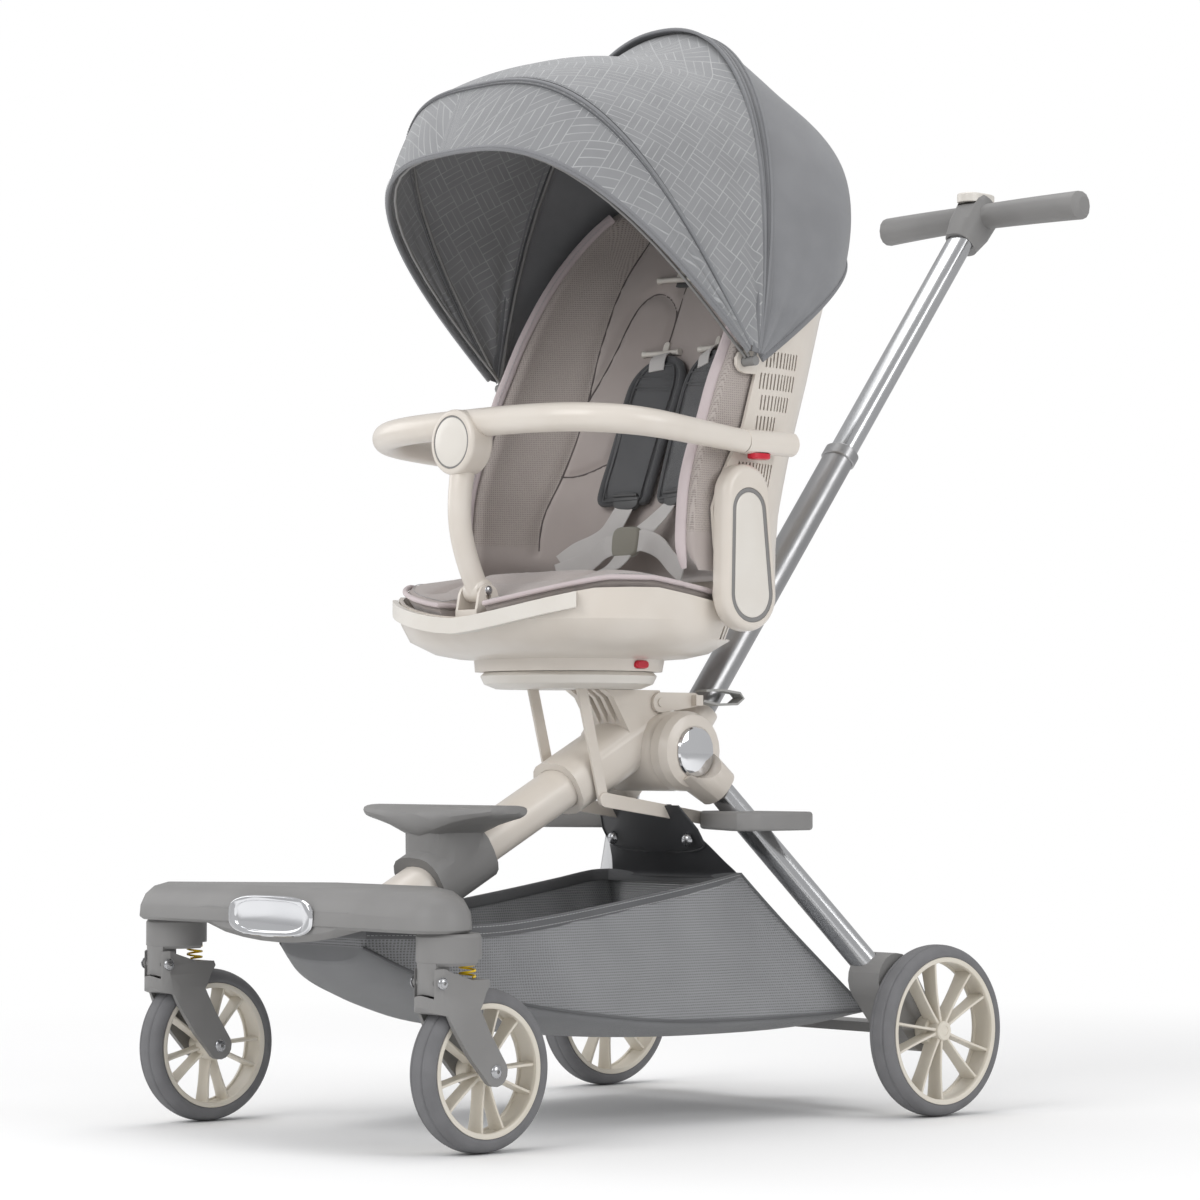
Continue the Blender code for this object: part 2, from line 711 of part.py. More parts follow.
def coil_points(x):
    low = LEDGE_Z + GAP + SPRING_WIRE_R
    high = SPRING_SEAT_Z - GAP - SPRING_WIRE_R
    per_curl = 10
    count = int(SPRING_CURLS * per_curl)
    points = []
    for i in range(count + 1):
        angle = 2 * math.pi * i / per_curl
        points.append((x + SPRING_R * math.cos(angle), SPRING_Y + SPRING_R * math.sin(angle),
                       low + (high - low) * i / count))
    return points


def least_gap(points, radius, skip):
    # The smallest space between two turns of a tube whose middle line is given.
    best = 1.0
    for i, a in enumerate(points):
        for b in points[i + skip:]:
            best = min(best, (Vector(a) - Vector(b)).length - 2 * radius)
    return best


both_sides("caster_housing", caster_housing(), grey, "caster", own_body=True)
both_sides("fork", fork(), grey, "fork", own_body=True)
spring_line = coil_points(FRONT_HALF_TRACK)
print("least gap between spring turns in mm:",
      round(least_gap(spring_line, SPRING_WIRE_R, 6) * 1000, 2))
both_sides("suspension_spring", round_tube(spring_line, SPRING_WIRE_R, 1), yellow, "fork", own_body=True)


# Front deck, its trim, the front tube and the foot saddle

deck_front_y = DECK_END_Y - DECK_END_R


def deck_outline(inset):
    # Round ends about the casters, a straight front and a rear edge drawn out to the tube.
    radius = DECK_END_R - inset
    right = arc(DECK_END_X, DECK_END_Y, radius, -90, 72, 7)
    left = arc(-DECK_END_X, DECK_END_Y, radius, 108, 270, 7)
    rear = [(DECK_REAR_HALF + 0.035 - inset * 0.6, DECK_REAR_Y - 0.036 - inset),
            (DECK_REAR_HALF - inset * 0.6, DECK_REAR_Y - 0.008 - inset),
            (DECK_REAR_HALF - 0.03, DECK_REAR_Y - inset)]
    mirror_rear = [(-u, v) for u, v in reversed(rear)]
    front = [(-0.10, deck_front_y + inset), (0.0, deck_front_y + inset), (0.10, deck_front_y + inset)]
    return front + right + rear + mirror_rear + left


def tube_solid(start_y, end_y, extra=0.0):
    return oval_tube(tube_point(start_y), tube_point(end_y), TUBE_HALF_WIDE + extra,
                     TUBE_HALF_DEEP + extra)


def front_deck():
    rings = []
    for up, inset in ((0.0, 0.004), (0.003, 0.0), (0.014, 0.001), (0.025, 0.006), (0.033, 0.015),
                      (DECK_THICK, 0.029)):
        rings.append([Vector((u, v, DECK_UNDER_Z + up)) for u, v in deck_outline(inset)])
    board = loft(rings)
    sections = []
    level = DECK_UNDER_Z + DECK_THICK * 0.45
    for i in range(9):
        x = -CHIN_HALF + 2 * CHIN_HALF * i / 8
        drop = CHIN_DROP * max(0.0, math.cos(x / CHIN_HALF * math.pi / 2)) ** 0.7 + 0.0005
        y = deck_front_y
        sections.append([(x, y + 0.0015, level), (x, y + 0.002, DECK_UNDER_Z - drop + 0.006),
                         (x, y + 0.010, DECK_UNDER_Z - drop), (x, y + 0.024, DECK_UNDER_Z - drop * 0.5),
                         (x, y + 0.034, DECK_UNDER_Z + 0.004), (x, y + 0.034, level)])
    deck = fuse(board, loft(sections))
    for s in (-1, 1):
        deck = cut(deck, rod((s * FRONT_HALF_TRACK, CASTER_Y, DECK_UNDER_Z - 0.01),
                             (s * FRONT_HALF_TRACK, CASTER_Y, DECK_UNDER_Z + STEM_LENGTH + GAP),
                             STEM_R + PIN_FIT, 16))
    return cut(deck, tube_solid(TUBE_Y - 0.045, TUBE_Y + 0.08, GAP))


def deck_trim():
    # A goggle-shaped bezel on the deck's front face.
    outer = oval_ring((0, 0, 0), (1, 0, 0), (0, 0, 1), TRIM_HALF_WIDTH, TRIM_HEIGHT / 2, 3.2, 32)
    back = deck_front_y - GAP
    return loft([[(p.x * wide, back - out, TRIM_Z + p.z * high) for p in outer]
                 for wide, high, out in ((1.0, 1.0, 0.0), (0.97, 0.94, TRIM_THICK), (0.82, 0.76, TRIM_THICK),
                                         (0.80, 0.72, TRIM_THICK * 0.4))])


def foot_saddle():
    rings = []
    for i in range(13):
        t = -1 + 2 * i / 12
        x = SADDLE_HALF_WIDTH * math.sin(t * math.pi / 2)
        swell = max(0.0, 1 - abs(t)) ** 0.5
        end = math.cos(t * math.pi / 2) ** 0.35 if abs(t) < 1 else 0.30
        half_y = SADDLE_HALF_DEPTH * max(end, 0.30)
        half_z = (0.009 + 0.010 * swell * math.exp(-(x / 0.05) ** 2)) * max(end, 0.45)
        rings.append(oval_ring((x, SADDLE_Y, SADDLE_Z - half_z + 0.009), (0, 1, 0), (0, 0, 1),
                               half_y, half_z, 2.8, 16))
    wings = loft(rings)
    low = tube_point(SADDLE_Y - 0.030)
    high = tube_point(SADDLE_Y + 0.036)
    wrap = oval_tube(low, high, TUBE_HALF_WIDE + 0.009, TUBE_HALF_DEEP + 0.010, power=2.8)
    stem = loft([
        oval_ring((0, SADDLE_Y, tube_point(SADDLE_Y).z), (1, 0, 0), (0, 1, 0), 0.034, 0.034, 3.0, 20),
        oval_ring((0, SADDLE_Y, SADDLE_Z - 0.012), (1, 0, 0), (0, 1, 0), 0.038, 0.033, 2.8, 20),
        oval_ring((0, SADDLE_Y, SADDLE_Z), (1, 0, 0), (0, 1, 0), 0.046, 0.033, 2.6, 20),
    ])
    saddle = fuse(wrap, stem, wings)
    return cut(saddle, tube_solid(SADDLE_Y - 0.10, SADDLE_Y + 0.10, GAP))


part("front_deck", front_deck(), grey)
part("deck_trim", deck_trim(), chrome)
part("front_tube", tube_solid(TUBE_Y - 0.035, TUBE_END_Y), cream)
part("foot_saddle", foot_saddle(), grey)


# Hub, handle socket and turntable post

def handle_point(distance):
    return handle_foot + handle_way * distance


def handle_outer(extra=0.0, start=0.0, end=HANDLE_OUTER_LENGTH):
    return oval_tube(handle_point(start), handle_point(end), HANDLE_OUTER_WIDE + extra,
                     HANDLE_OUTER_DEEP + extra)


def hub_core():
    sleeve = oval_tube(tube_point(SLEEVE_START_Y), tube_point(PIVOT_Y - 0.020),
                       SLEEVE_HALF_WIDE, SLEEVE_HALF_DEEP, power=2.6, steps=1)
    edge = 0.008
    barrel = turned([
        (0, HUB_HALF_WIDTH), (HUB_BARREL_R - edge, HUB_HALF_WIDTH),
        (HUB_BARREL_R - edge * 0.3, HUB_HALF_WIDTH - edge * 0.3),
        (HUB_BARREL_R, HUB_HALF_WIDTH - edge), (HUB_BARREL_R, -HUB_HALF_WIDTH + edge),
        (HUB_BARREL_R - edge * 0.3, -HUB_HALF_WIDTH + edge * 0.3),
        (HUB_BARREL_R - edge, -HUB_HALF_WIDTH), (0, -HUB_HALF_WIDTH),
    ], (0, PIVOT_Y, PIVOT_Z), "X", 24)
    post_top = TURNTABLE_UNDER_Z - GAP
    post = plate([[
        (TURN_Y + 0.022, post_top), (TURN_Y + 0.035, post_top - 0.008),
        (TURN_Y + 0.062, post_top - 0.050), (PIVOT_Y - 0.006, PIVOT_Z),
        (PIVOT_Y, post_top - 0.018), (TURN_Y + 0.100, post_top),
    ]], POST_HALF * 2, "YZ", 0)
    ribs = [box((x - 0.0035, TURN_Y, post_top - 0.034), (x + 0.0035, TURN_Y + 0.052, post_top + 0.02))
            for x in (-0.018, -0.006, 0.006, 0.018)]
    post = cut(post, *ribs)
    socket = oval_tube(handle_point(-0.050), handle_point(0.030), HANDLE_OUTER_WIDE + 0.0045,
                       HANDLE_OUTER_DEEP + 0.0045)
    core = fuse(barrel, sleeve, post, socket)
    core = cut(core, tube_solid(TUBE_Y, TUBE_END_Y + GAP, GAP))
    return cut(core, handle_outer(GAP, -GAP, 0.2))


def turntable():
    edge = 0.004
    disc = turned([
        (0, TURNTABLE_TOP_Z), (TURNTABLE_R - edge, TURNTABLE_TOP_Z), (TURNTABLE_R, TURNTABLE_TOP_Z - edge),
        (TURNTABLE_R - edge, TURNTABLE_UNDER_Z + edge * 1.2), (TURNTABLE_R - 4 * edge, TURNTABLE_UNDER_Z),
        (0, TURNTABLE_UNDER_Z),
    ], (0, TURN_Y, 0), "Z", 32)
    slot_half = LINK_INNER_X + LINK_THICK + 0.0006
    slot = box((-slot_half, LINK_TOP.y - LINK_HALF_WIDTH - 0.0085, TURNTABLE_UNDER_Z - 0.01),
               (slot_half, LINK_TOP.y + LINK_HALF_WIDTH + 0.0025, LINK_TOP.z + LINK_HALF_WIDTH + 0.0006))
    block = box((-LINK_INNER_X + GAP, LINK_TOP.y - LINK_HALF_WIDTH - 0.003, TURNTABLE_UNDER_Z),
                (LINK_INNER_X - GAP, LINK_TOP.y + LINK_HALF_WIDTH + 0.003, TURNTABLE_TOP_Z - 0.003))
    table = fuse(cut(disc, slot), block)
    return cut(table, rod((-0.042, LINK_TOP.y, LINK_TOP.z), (0.042, LINK_TOP.y, LINK_TOP.z),
                          LINK_PIN_R + PIN_FIT, 12))


part("hub_core", hub_core(), cream)
part("turntable", turntable(), white)


# Fold lever with its pull strap, behind the post

def fold_lever():
    inner = POST_HALF + GAP
    outer = inner + 0.004
    end_y = LEVER_Y + LEVER_REACH
    shape = capsule((LEVER_Y, LEVER_Z), 0.0105, (end_y, LEVER_Z + 0.003), 0.0075, 8)
    cheeks = [plate([shape], outer - inner, "YZ", s * (inner + outer) / 2) for s in (-1, 1)]
    bridge = box((-outer + 0.001, end_y - 0.004, LEVER_Z - 0.003), (STRAP_X + 0.009, end_y + 0.006, LEVER_Z + 0.008))
    pins = [rod((s * (inner + 0.001), LEVER_Y, LEVER_Z), (s * (outer + 0.0015), LEVER_Y, LEVER_Z), 0.0045)
            for s in (-1, 1)]
    return fuse(cheeks[0], bridge, cheeks[1], *pins)


def pull_strap():
    start_y = LEVER_Y + LEVER_REACH + 0.0075 + GAP
    half = 0.008
    thick = 0.0024
    low = LEVER_Z + 0.001
    line = [(start_y, low), (start_y + 0.024, low - 0.004), (start_y + 0.050, low - 0.003),
            (start_y + 0.060, low + 0.004), (start_y + 0.054, low + 0.011),
            (start_y + 0.028, low + 0.014), (start_y + 0.004, low + 0.013)]
    over = []
    for i, (y, z) in enumerate(line):
        before = Vector(line[max(i - 1, 0)])
        after = Vector(line[min(i + 1, len(line) - 1)])
        way = (after - before).normalized()
        over.append((y - way.y * thick, z + way.x * thick))
    return plate([line + list(reversed(over))], half * 2, "YZ", STRAP_X)


part("fold_lever", fold_lever(), cream, "fold_lever")
part("pull_strap", pull_strap(), strap_cloth, "fold_lever")


# Rear frame: arms on the hub, legs, axle beam, brake pedal and foot pedals

leg_way = (LEG_FOOT - LEG_TOP).normalized()
leg_start = LEG_TOP - leg_way * 0.022


def leg_solid(extra=0.0, start=0.0, end=0.0):
    return oval_tube(leg_start - leg_way * start, LEG_FOOT + leg_way * end, LEG_HALF_WIDE + extra,
                     LEG_HALF_DEEP + extra, power=2.5)


def hub_arm():
    inner = HUB_HALF_WIDTH + GAP
    outer = inner + ARM_THICK
    edge = 0.009
    disc = turned([
        (0, outer), (HUB_BARREL_R - edge * 1.5, outer), (HUB_BARREL_R - edge * 0.4, outer - edge * 0.4),
        (HUB_BARREL_R, outer - edge * 1.4), (HUB_BARREL_R, inner), (0, inner),
    ], (0, PIVOT_Y, PIVOT_Z), "X", 24)
    heart = Vector(((inner + outer) / 2 + 0.003, PIVOT_Y, PIVOT_Z - 0.012))
    socket = oval_tube(heart, LEG_TOP, LEG_HALF_WIDE + 0.0105, LEG_HALF_DEEP + 0.013,
                       power=2.4, scale_end=0.84)
    keep = box((inner, -1, -1), (1, 1, 1))
    arm = combine(fuse(disc, socket), [keep], "INTERSECT")
    return cut(arm, leg_solid(GAP, GAP, 0.02), insert_solid(0.0006))


def insert_solid(extra=0.0):
    # The oval plate on the pivot; with extra it is the room cut for it, open outwards.
    base = HUB_HALF_WIDTH + GAP + ARM_THICK + GAP - extra
    layers = ((0.0, 1.0), (0.06, 1.0)) if extra else ((0.0, 1.0), (0.003, 0.93), (0.005, 0.70))
    return loft([oval_ring((base + up, PIVOT_Y - 0.001, PIVOT_Z - 0.001), (0, 1, 0), (0, 0, 1),
                           (INSERT_HALF_Y + extra) * size, (INSERT_HALF_Z + extra) * size, 2.2, 24)
                 for up, size in layers])


def axle_beam():
    centre_x = rear_bracket_face - BRACKET_WIDTH / 2
    shape = capsule((LEG_FOOT.y + 0.006, LEG_FOOT.z - 0.004), BRACKET_R,
                    (REAR_AXLE_Y, REAR_TYRE_R), BRACKET_R * 0.85, 10)
    brackets = [plate([shape], BRACKET_WIDTH, "YZ", s * centre_x) for s in (-1, 1)]
    plate_y = REAR_AXLE_Y
    cross = box((-centre_x, plate_y - CROSS_PLATE_DEPTH / 2, REAR_TYRE_R - CROSS_PLATE_THICK / 2),
                (centre_x, plate_y + CROSS_PLATE_DEPTH / 2, REAR_TYRE_R + CROSS_PLATE_THICK / 2))
    axle_end = REAR_HALF_TRACK + 0.0085
    axles = [rod((s * (rear_bracket_face - 0.01), REAR_AXLE_Y, REAR_TYRE_R),
                 (s * axle_end, REAR_AXLE_Y, REAR_TYRE_R), AXLE_R) for s in (-1, 1)]
    beam = fuse(brackets[0], cross, brackets[1], *axles)
    hinge_y = places["brake"].y
    hinge_z = places["brake"].z
    ears = [box((s * 0.034 - 0.003, hinge_y - 0.012, REAR_TYRE_R), (s * 0.034 + 0.003, hinge_y + 0.005, hinge_z + 0.005))
            for s in (-1, 1)]
    beam = fuse(beam, *ears)
    beam = cut(beam, rod((-0.05, hinge_y, hinge_z), (0.05, hinge_y, hinge_z), 0.0025 + PIN_FIT))
    left_leg = leg_solid(GAP, 0, GAP)
    right_leg = mirrored(left_leg)
    return cut(beam, left_leg, right_leg)


def brake_pedal():
    hinge_y = places["brake"].y
    hinge_z = places["brake"].z
    pad = box((-0.0305, hinge_y - 0.004, hinge_z - 0.0035), (0.0305, hinge_y + 0.045, hinge_z + 0.0045), 0.002, 2)
    pin = rod((-0.038, hinge_y, hinge_z), (0.038, hinge_y, hinge_z), 0.0025, 12)
    return fuse(pad, pin)


def foot_pedal():
    inner = LINK_INNER_X + 2 * LINK_THICK + 2 * GAP
    shape = [
        (inner, PEDAL_REAR_Y - 0.006), (inner, LINK_HEEL.y - 0.014),
        (inner + 0.010, LINK_HEEL.y - 0.022),
        (PEDAL_OUTER_X - 0.030, PEDAL_FRONT_Y + 0.003), (PEDAL_OUTER_X - 0.014, PEDAL_FRONT_Y),
        (PEDAL_OUTER_X - 0.003, PEDAL_FRONT_Y + 0.009), (PEDAL_OUTER_X, PEDAL_FRONT_Y + 0.022),
        (PEDAL_OUTER_X, PEDAL_REAR_Y - 0.012), (PEDAL_OUTER_X - 0.004, PEDAL_REAR_Y - 0.003),
        (PEDAL_OUTER_X - 0.014, PEDAL_REAR_Y), (inner + 0.008, PEDAL_REAR_Y),
    ]
    pedal = plate([shape], PEDAL_THICK, "XY", PEDAL_Z + PEDAL_THICK / 2, 0.003)
    return cut(pedal, leg_solid(GAP, 0.02, 0.02))


both_sides("hub_arm", hub_arm(), cream, "rear_frame")
both_sides("hub_insert", insert_solid(), chrome, "rear_frame")
both_sides("rear_leg", leg_solid(), polished, "rear_frame")
part("axle_beam", axle_beam(), grey, "rear_frame")
part("brake_pedal", brake_pedal(), grey, "brake")
both_sides("foot_pedal", foot_pedal(), grey, "rear_frame")


# Fold links: two flat bars hanging from the turntable, two drawing the legs in

def link_bar(a, b, level, extra=0.0):
    return plate([capsule((a.y, a.z), LINK_HALF_WIDTH + extra, (b.y, b.z), LINK_HALF_WIDTH, 8)],
                 LINK_THICK, "YZ", level)


def fold_link():
    level = LINK_INNER_X + LINK_THICK / 2
    left = link_bar(LINK_TOP, LINK_KNEE, level)
    right = link_bar(LINK_TOP, LINK_KNEE, -level)
    pin = rod((-level, LINK_TOP.y, LINK_TOP.z), (level, LINK_TOP.y, LINK_TOP.z), LINK_PIN_R)
    return fuse(left, pin, right)


def drag_link():
    level = LINK_INNER_X + LINK_THICK * 1.5 + GAP
    return link_bar(LINK_KNEE, LINK_HEEL, level, 0.001)


part("fold_link", fold_link(), cream, "fold_link")
both_sides("drag_link", drag_link(), cream, "drag_link")


# Telescopic handle

def handle_outer_tube():
    tube = handle_outer()
    collar = oval_tube(handle_point(HANDLE_OUTER_LENGTH - 0.010), handle_point(HANDLE_OUTER_LENGTH),
                       HANDLE_OUTER_WIDE + 0.0018, HANDLE_OUTER_DEEP + 0.0018)
    bore = handle_outer(-HANDLE_WALL, 0.006, HANDLE_OUTER_LENGTH + 0.01)
    return cut(fuse(tube, collar), bore)


def handle_tube():
    inset = HANDLE_WALL + GAP
    start = HANDLE_FROM_HUB - HANDLE_TUBE_LENGTH
    return oval_tube(handle_point(start), handle_point(HANDLE_FROM_HUB - 0.012),
                     HANDLE_OUTER_WIDE - inset, HANDLE_OUTER_DEEP - inset)


def handle_grip():
    crown = handle_point(HANDLE_FROM_HUB)
    rings = []
    steps = 12
    for i in range(steps + 1):
        t = -1 + 2 * i / steps
        x = GRIP_HALF_WIDTH * math.sin(t * math.pi / 2) if abs(t) > 0.8 else GRIP_HALF_WIDTH * t * 1.18
        x = max(-GRIP_HALF_WIDTH, min(GRIP_HALF_WIDTH, x))
        taper = 1 - 0.14 * (1 - abs(t))
        end = 0.55 if abs(t) == 1 else 1.0
        y = crown.y + GRIP_SWEEP * (x / GRIP_HALF_WIDTH) ** 2
        rings.append(oval_ring((x, y, crown.z - 0.004), (0, 1, 0), (0, 0, 1), GRIP_R * taper * end,
                               GRIP_R * taper * end, 2.2, 14))
    bar = loft(rings)
    ahead = Vector((0, -math.sin(HANDLE_SLOPE), math.cos(HANDLE_SLOPE)))
    head = loft([
        oval_ring(crown + handle_way * d - Vector((0, 0, 0.004)), (1, 0, 0), ahead, CAP_HALF_WIDTH * s,
                  0.024 * s, 2.6, 20)
        for d, s in ((-0.042, 0.80), (-0.020, 1.0), (0.010, 1.05), (0.018, 0.96))])
    grip = cut(fuse(bar, head), cap_solid(GAP, 0.02, CAP_STROKE))
    inset = HANDLE_WALL + GAP
    socket = oval_tube(handle_point(HANDLE_FROM_HUB - 0.10), handle_point(HANDLE_FROM_HUB - 0.012 + GAP),
                       HANDLE_OUTER_WIDE - inset + GAP, HANDLE_OUTER_DEEP - inset + GAP)
    return cut(grip, socket)


def cap_solid(extra=0.0, rise=0.0, deeper=0.0):
    # The stadium push button, flush in the face that looks up along the handle's front.
    # With extra, rise and deeper it is the well that it is pressed down into.
    crown = handle_point(HANDLE_FROM_HUB)
    ahead = Vector((0, -math.sin(HANDLE_SLOPE), math.cos(HANDLE_SLOPE)))
    way = (handle_way + ahead * 0.75).normalized()
    side = Vector((1, 0, 0))
    up = way.cross(side)
    base = crown + way * (0.0125 - extra - deeper)
    return loft([
        oval_ring(base + way * d, side, up, (CAP_HALF_WIDTH - 0.006 + extra) * s,
                  (CAP_HALF_LENGTH - 0.010 + extra) * s, 2.8, 24)
        for d, s in ((0.0, 1.0), (0.009 + extra + rise + deeper, 1.0), (0.0105 + extra * 2 + rise + deeper, 0.93))])


part("handle_outer_tube", handle_outer_tube(), polished)
part("handle_tube", handle_tube(), polished, "handle")
part("handle_grip", handle_grip(), grey, "handle")
part("handle_button", cap_solid(), white, "handle_button")


# Seat bowl

BOWL_SECTIONS = (
    (TURNTABLE_TOP_Z + GAP, TURRET_R, TURRET_R, TURRET_R),
    (TURRET_TOP_Z, TURRET_R + 0.002, TURRET_R, TURRET_R + 0.002),
    (0.4675, 0.118, 0.098, 0.112),
    (0.4720, 0.143, 0.118, 0.128),
    (0.4850, 0.170, 0.141, 0.142),
    (0.5030, 0.179, 0.150, 0.148),
    (BOWL_RIM_Z, BOWL_HALF_WIDTH, BOWL_FRONT, BOWL_REAR),
)


def bowl_ring(z, half_wide, front, rear, count=32):
    points = []
    for i in range(count):
        angle = 2 * math.pi * i / count
        u = half_wide * signed_power(math.cos(angle), 2 / BOWL_POWER)
        reach = rear if math.sin(angle) > 0 else front
        v = reach * signed_power(math.sin(angle), 2 / BOWL_POWER)
        points.append(Vector((u, TURN_Y + v, z)))
    return points


def shrink(sections, amount, lift):
    return [(z + lift, w - amount, f - amount, r - amount) for z, w, f, r in sections]


def rim_height(x, y):
    # The rim dips at the middle of the front, peaks towards its corners and falls to the rear.
    side = min(1.0, abs(x) / 0.155)
    ahead = min(1.0, max(0.0, (-0.02 - y) / 0.06))
    back = min(1.0, max(0.0, (y + 0.02) / 0.10))
    return BOWL_RIM_Z - BOWL_FRONT_DIP * (1 - side ** 1.5) * ahead - 0.015 * back


def above_rim(lift=0.0):
    sections = []
    ys = (-0.20, -0.10, -0.08, -0.05, -0.02, 0.03, 0.08, 0.25)
    for i in range(-8, 9):
        x = 0.200 * i / 8
        sections.append([(x, y, rim_height(x, y) + lift) for y in ys] + [(x, 0.25, 0.60), (x, -0.20, 0.60)])
    return loft(sections)


def seat_bowl():
    outside = [bowl_ring(*s) for s in BOWL_SECTIONS]
    bowl = loft(outside)
    inside = shrink(BOWL_SECTIONS[2:], WALL, WALL)
    inside.append((BOWL_RIM_Z + 0.03, BOWL_HALF_WIDTH - WALL, BOWL_FRONT - WALL, BOWL_REAR - WALL))
    hollow = loft([bowl_ring(*s) for s in inside])
    drop = box((-0.3, TURN_Y + 0.078, BOWL_REAR_RIM_Z), (0.3, TURN_Y + 0.3, 0.6))
    bowl = cut(bowl, hollow, above_rim(), drop)
    ears = [rod((s * (BACK_HALF_WIDTH - WALL - 0.0022), RECLINE_Y, RECLINE_Z),
                (s * (BACK_HALF_WIDTH + 0.0003), RECLINE_Y, RECLINE_Z), EAR_R, 20) for s in (-1, 1)]
    cheek = 0.0035
    bracket = fuse(
        box((-POST_R - GAP - cheek - 0.001, BRACKET_Y - 0.016, 0.490),
            (POST_R + GAP + cheek + 0.001, BRACKET_Y + 0.016, 0.5145)),
        *[plate([capsule((BRACKET_Y, BUMPER_PIVOT_Z), 0.0125, (BRACKET_Y, 0.510), 0.016, 5)], cheek, "YZ",
                s * (POST_R + GAP * 2 + cheek / 2 + 0.001)) for s in (-1, 1)])
    foot = box((-0.016, TURN_Y - bowl_size(0.486)[1] + WALL * 0.4, 0.486), (0.016, BRACKET_Y, 0.500))
    bowl = fuse(bowl, ears[0], ears[1], fuse(foot, bracket))
    bores = rod((-0.3, RECLINE_Y, RECLINE_Z), (0.3, RECLINE_Y, RECLINE_Z), 0.008 + PIN_FIT)
    bolt = rod((-0.03, BRACKET_Y, BUMPER_PIVOT_Z), (0.03, BRACKET_Y, BUMPER_PIVOT_Z), 0.003 + PIN_FIT, 16)
    return cut(bowl, bores, bolt, turn_button_shape(GAP, TURN_BUTTON_STROKE, 0.01))


def turn_button_shape(extra=0.0, deeper=0.0, longer=0.0):
    way = Vector((math.cos(TURN_BUTTON_AT), math.sin(TURN_BUTTON_AT), 0))
    side = Vector((-way.y, way.x, 0))
    base = Vector((0, TURN_Y, TURN_BUTTON_Z)) + way * (TURRET_R - 0.004)
    layers = ((-extra - deeper, 1), (0.0075 + longer, 1), (0.0085 + longer, 0.85))
    return loft([oval_ring(base + way * d, side, (0, 0, 1), (0.0105 + extra) * s, (0.0042 + extra) * s, 3.0, 16)
                 for d, s in layers])


def bowl_size(z):
    # Half width and front reach of the bowl's outside at a height.
    for low, high in zip(BOWL_SECTIONS, BOWL_SECTIONS[1:]):
        if z <= high[0]:
            t = (z - low[0]) / (high[0] - low[0])
            return low[1] + (high[1] - low[1]) * t, low[2] + (high[2] - low[2]) * t
    return BOWL_HALF_WIDTH, BOWL_FRONT


def leg_rest():
    # A drawer lip that follows the bowl's front.
    rings = []
    count = 16
    for i in range(count + 1):
        angle = -math.pi / 2 - TRAY_HALF_ANGLE + 2 * TRAY_HALF_ANGLE * i / count
        u = signed_power(math.cos(angle), 2 / BOWL_POWER)
        v = signed_power(math.sin(angle), 2 / BOWL_POWER)
        outer = Vector(((BOWL_HALF_WIDTH + TRAY_THICK) * u, TURN_Y + (BOWL_FRONT + TRAY_THICK) * v, 0))
        top = rim_height(outer.x, outer.y) - 0.0015
        low = top - TRAY_HEIGHT
        inner = []
        kink = min(max(BOWL_SECTIONS[-2][0], low + 0.002), top - 0.002)
        for z in (low, kink, top):
            half_wide, front = bowl_size(z)
            inner.append(Vector(((half_wide + GAP * 2) * u, TURN_Y + (front + GAP * 2) * v, z)))
        rings.append([inner[0], outer + Vector((0, 0, low)), outer + Vector((0, 0, top)), inner[2], inner[1]])
    return loft(rings)


part("seat_bowl", seat_bowl(), cream, "seat")
part("turn_button", turn_button_shape(), red, "turn_button")
part("leg_rest", leg_rest(), white, "leg_rest")


# Seat cushion

def seat_cushion():
    # A pad with a crown, drawn-in sides and a channel on each side of the middle.
    count = 32
    low = WALL + 0.0006
    rings = [bowl_ring(z + low, w - low - 0.001, f - low - 0.001, r - low - 0.001, count=count)
             for z, w, f, r in BOWL_SECTIONS[2:5]]
    top_levels = ((0.500, 0.171, 0.142, 0.066), (0.522, 0.174, 0.145, 0.068), (0.536, 0.173, 0.144, 0.064),
                  (0.543, 0.164, 0.135, 0.056), (0.546, 0.130, 0.106, 0.040), (0.544, 0.064, 0.054, 0.020))
    rings = [[Vector((p.x, min(p.y, TURN_Y + 0.066), p.z)) for p in ring] for ring in rings]
    for z, w, f, r in top_levels:
        ring = []
        for p in bowl_ring(z, w, f, r, count=count):
            groove = 0.005 * math.exp(-((abs(p.x) - 0.085) / 0.008) ** 2) if z > 0.54 else 0.0
            follow = (BOWL_RIM_Z - rim_height(p.x, p.y)) * min(1.0, (z - 0.5) / 0.036)
            ring.append(Vector((p.x, min(p.y, TURN_Y + 0.066), p.z - groove - follow)))
        rings.append(ring)
    pad = loft(rings)
    room = box((-0.021, BRACKET_Y - 0.045, 0.40), (0.021, BRACKET_Y + 0.020, 0.60), 0.004, 1)
    return cut(pad, room)


part("seat_cushion", seat_cushion(), seat_cloth, "seat")


# Backrest: a bucket shell, side covers, cushion and harness

# Height, wing edge's Y, half width, depth behind the wing edge
BACK_STATIONS = (
    (0.532, 0.061, 0.1825, 0.159),
    (0.580, 0.0535, 0.1825, 0.1705),
    (0.616, 0.0505, 0.1825, 0.1805),
    (0.646, 0.062, 0.1825, 0.175),
    (0.672, 0.0775, 0.1825, 0.163),
    (0.700, 0.0935, 0.1825, 0.1525),
    (0.755, 0.111, 0.1825, 0.154),
    (0.820, 0.130, 0.1815, 0.156),
    (0.880, 0.162, 0.1770, 0.146),
    (0.930, 0.198, 0.1660, 0.118),
    (0.965, 0.229, 0.1440, 0.089),
    (0.985, 0.252, 0.1080, 0.064),
)

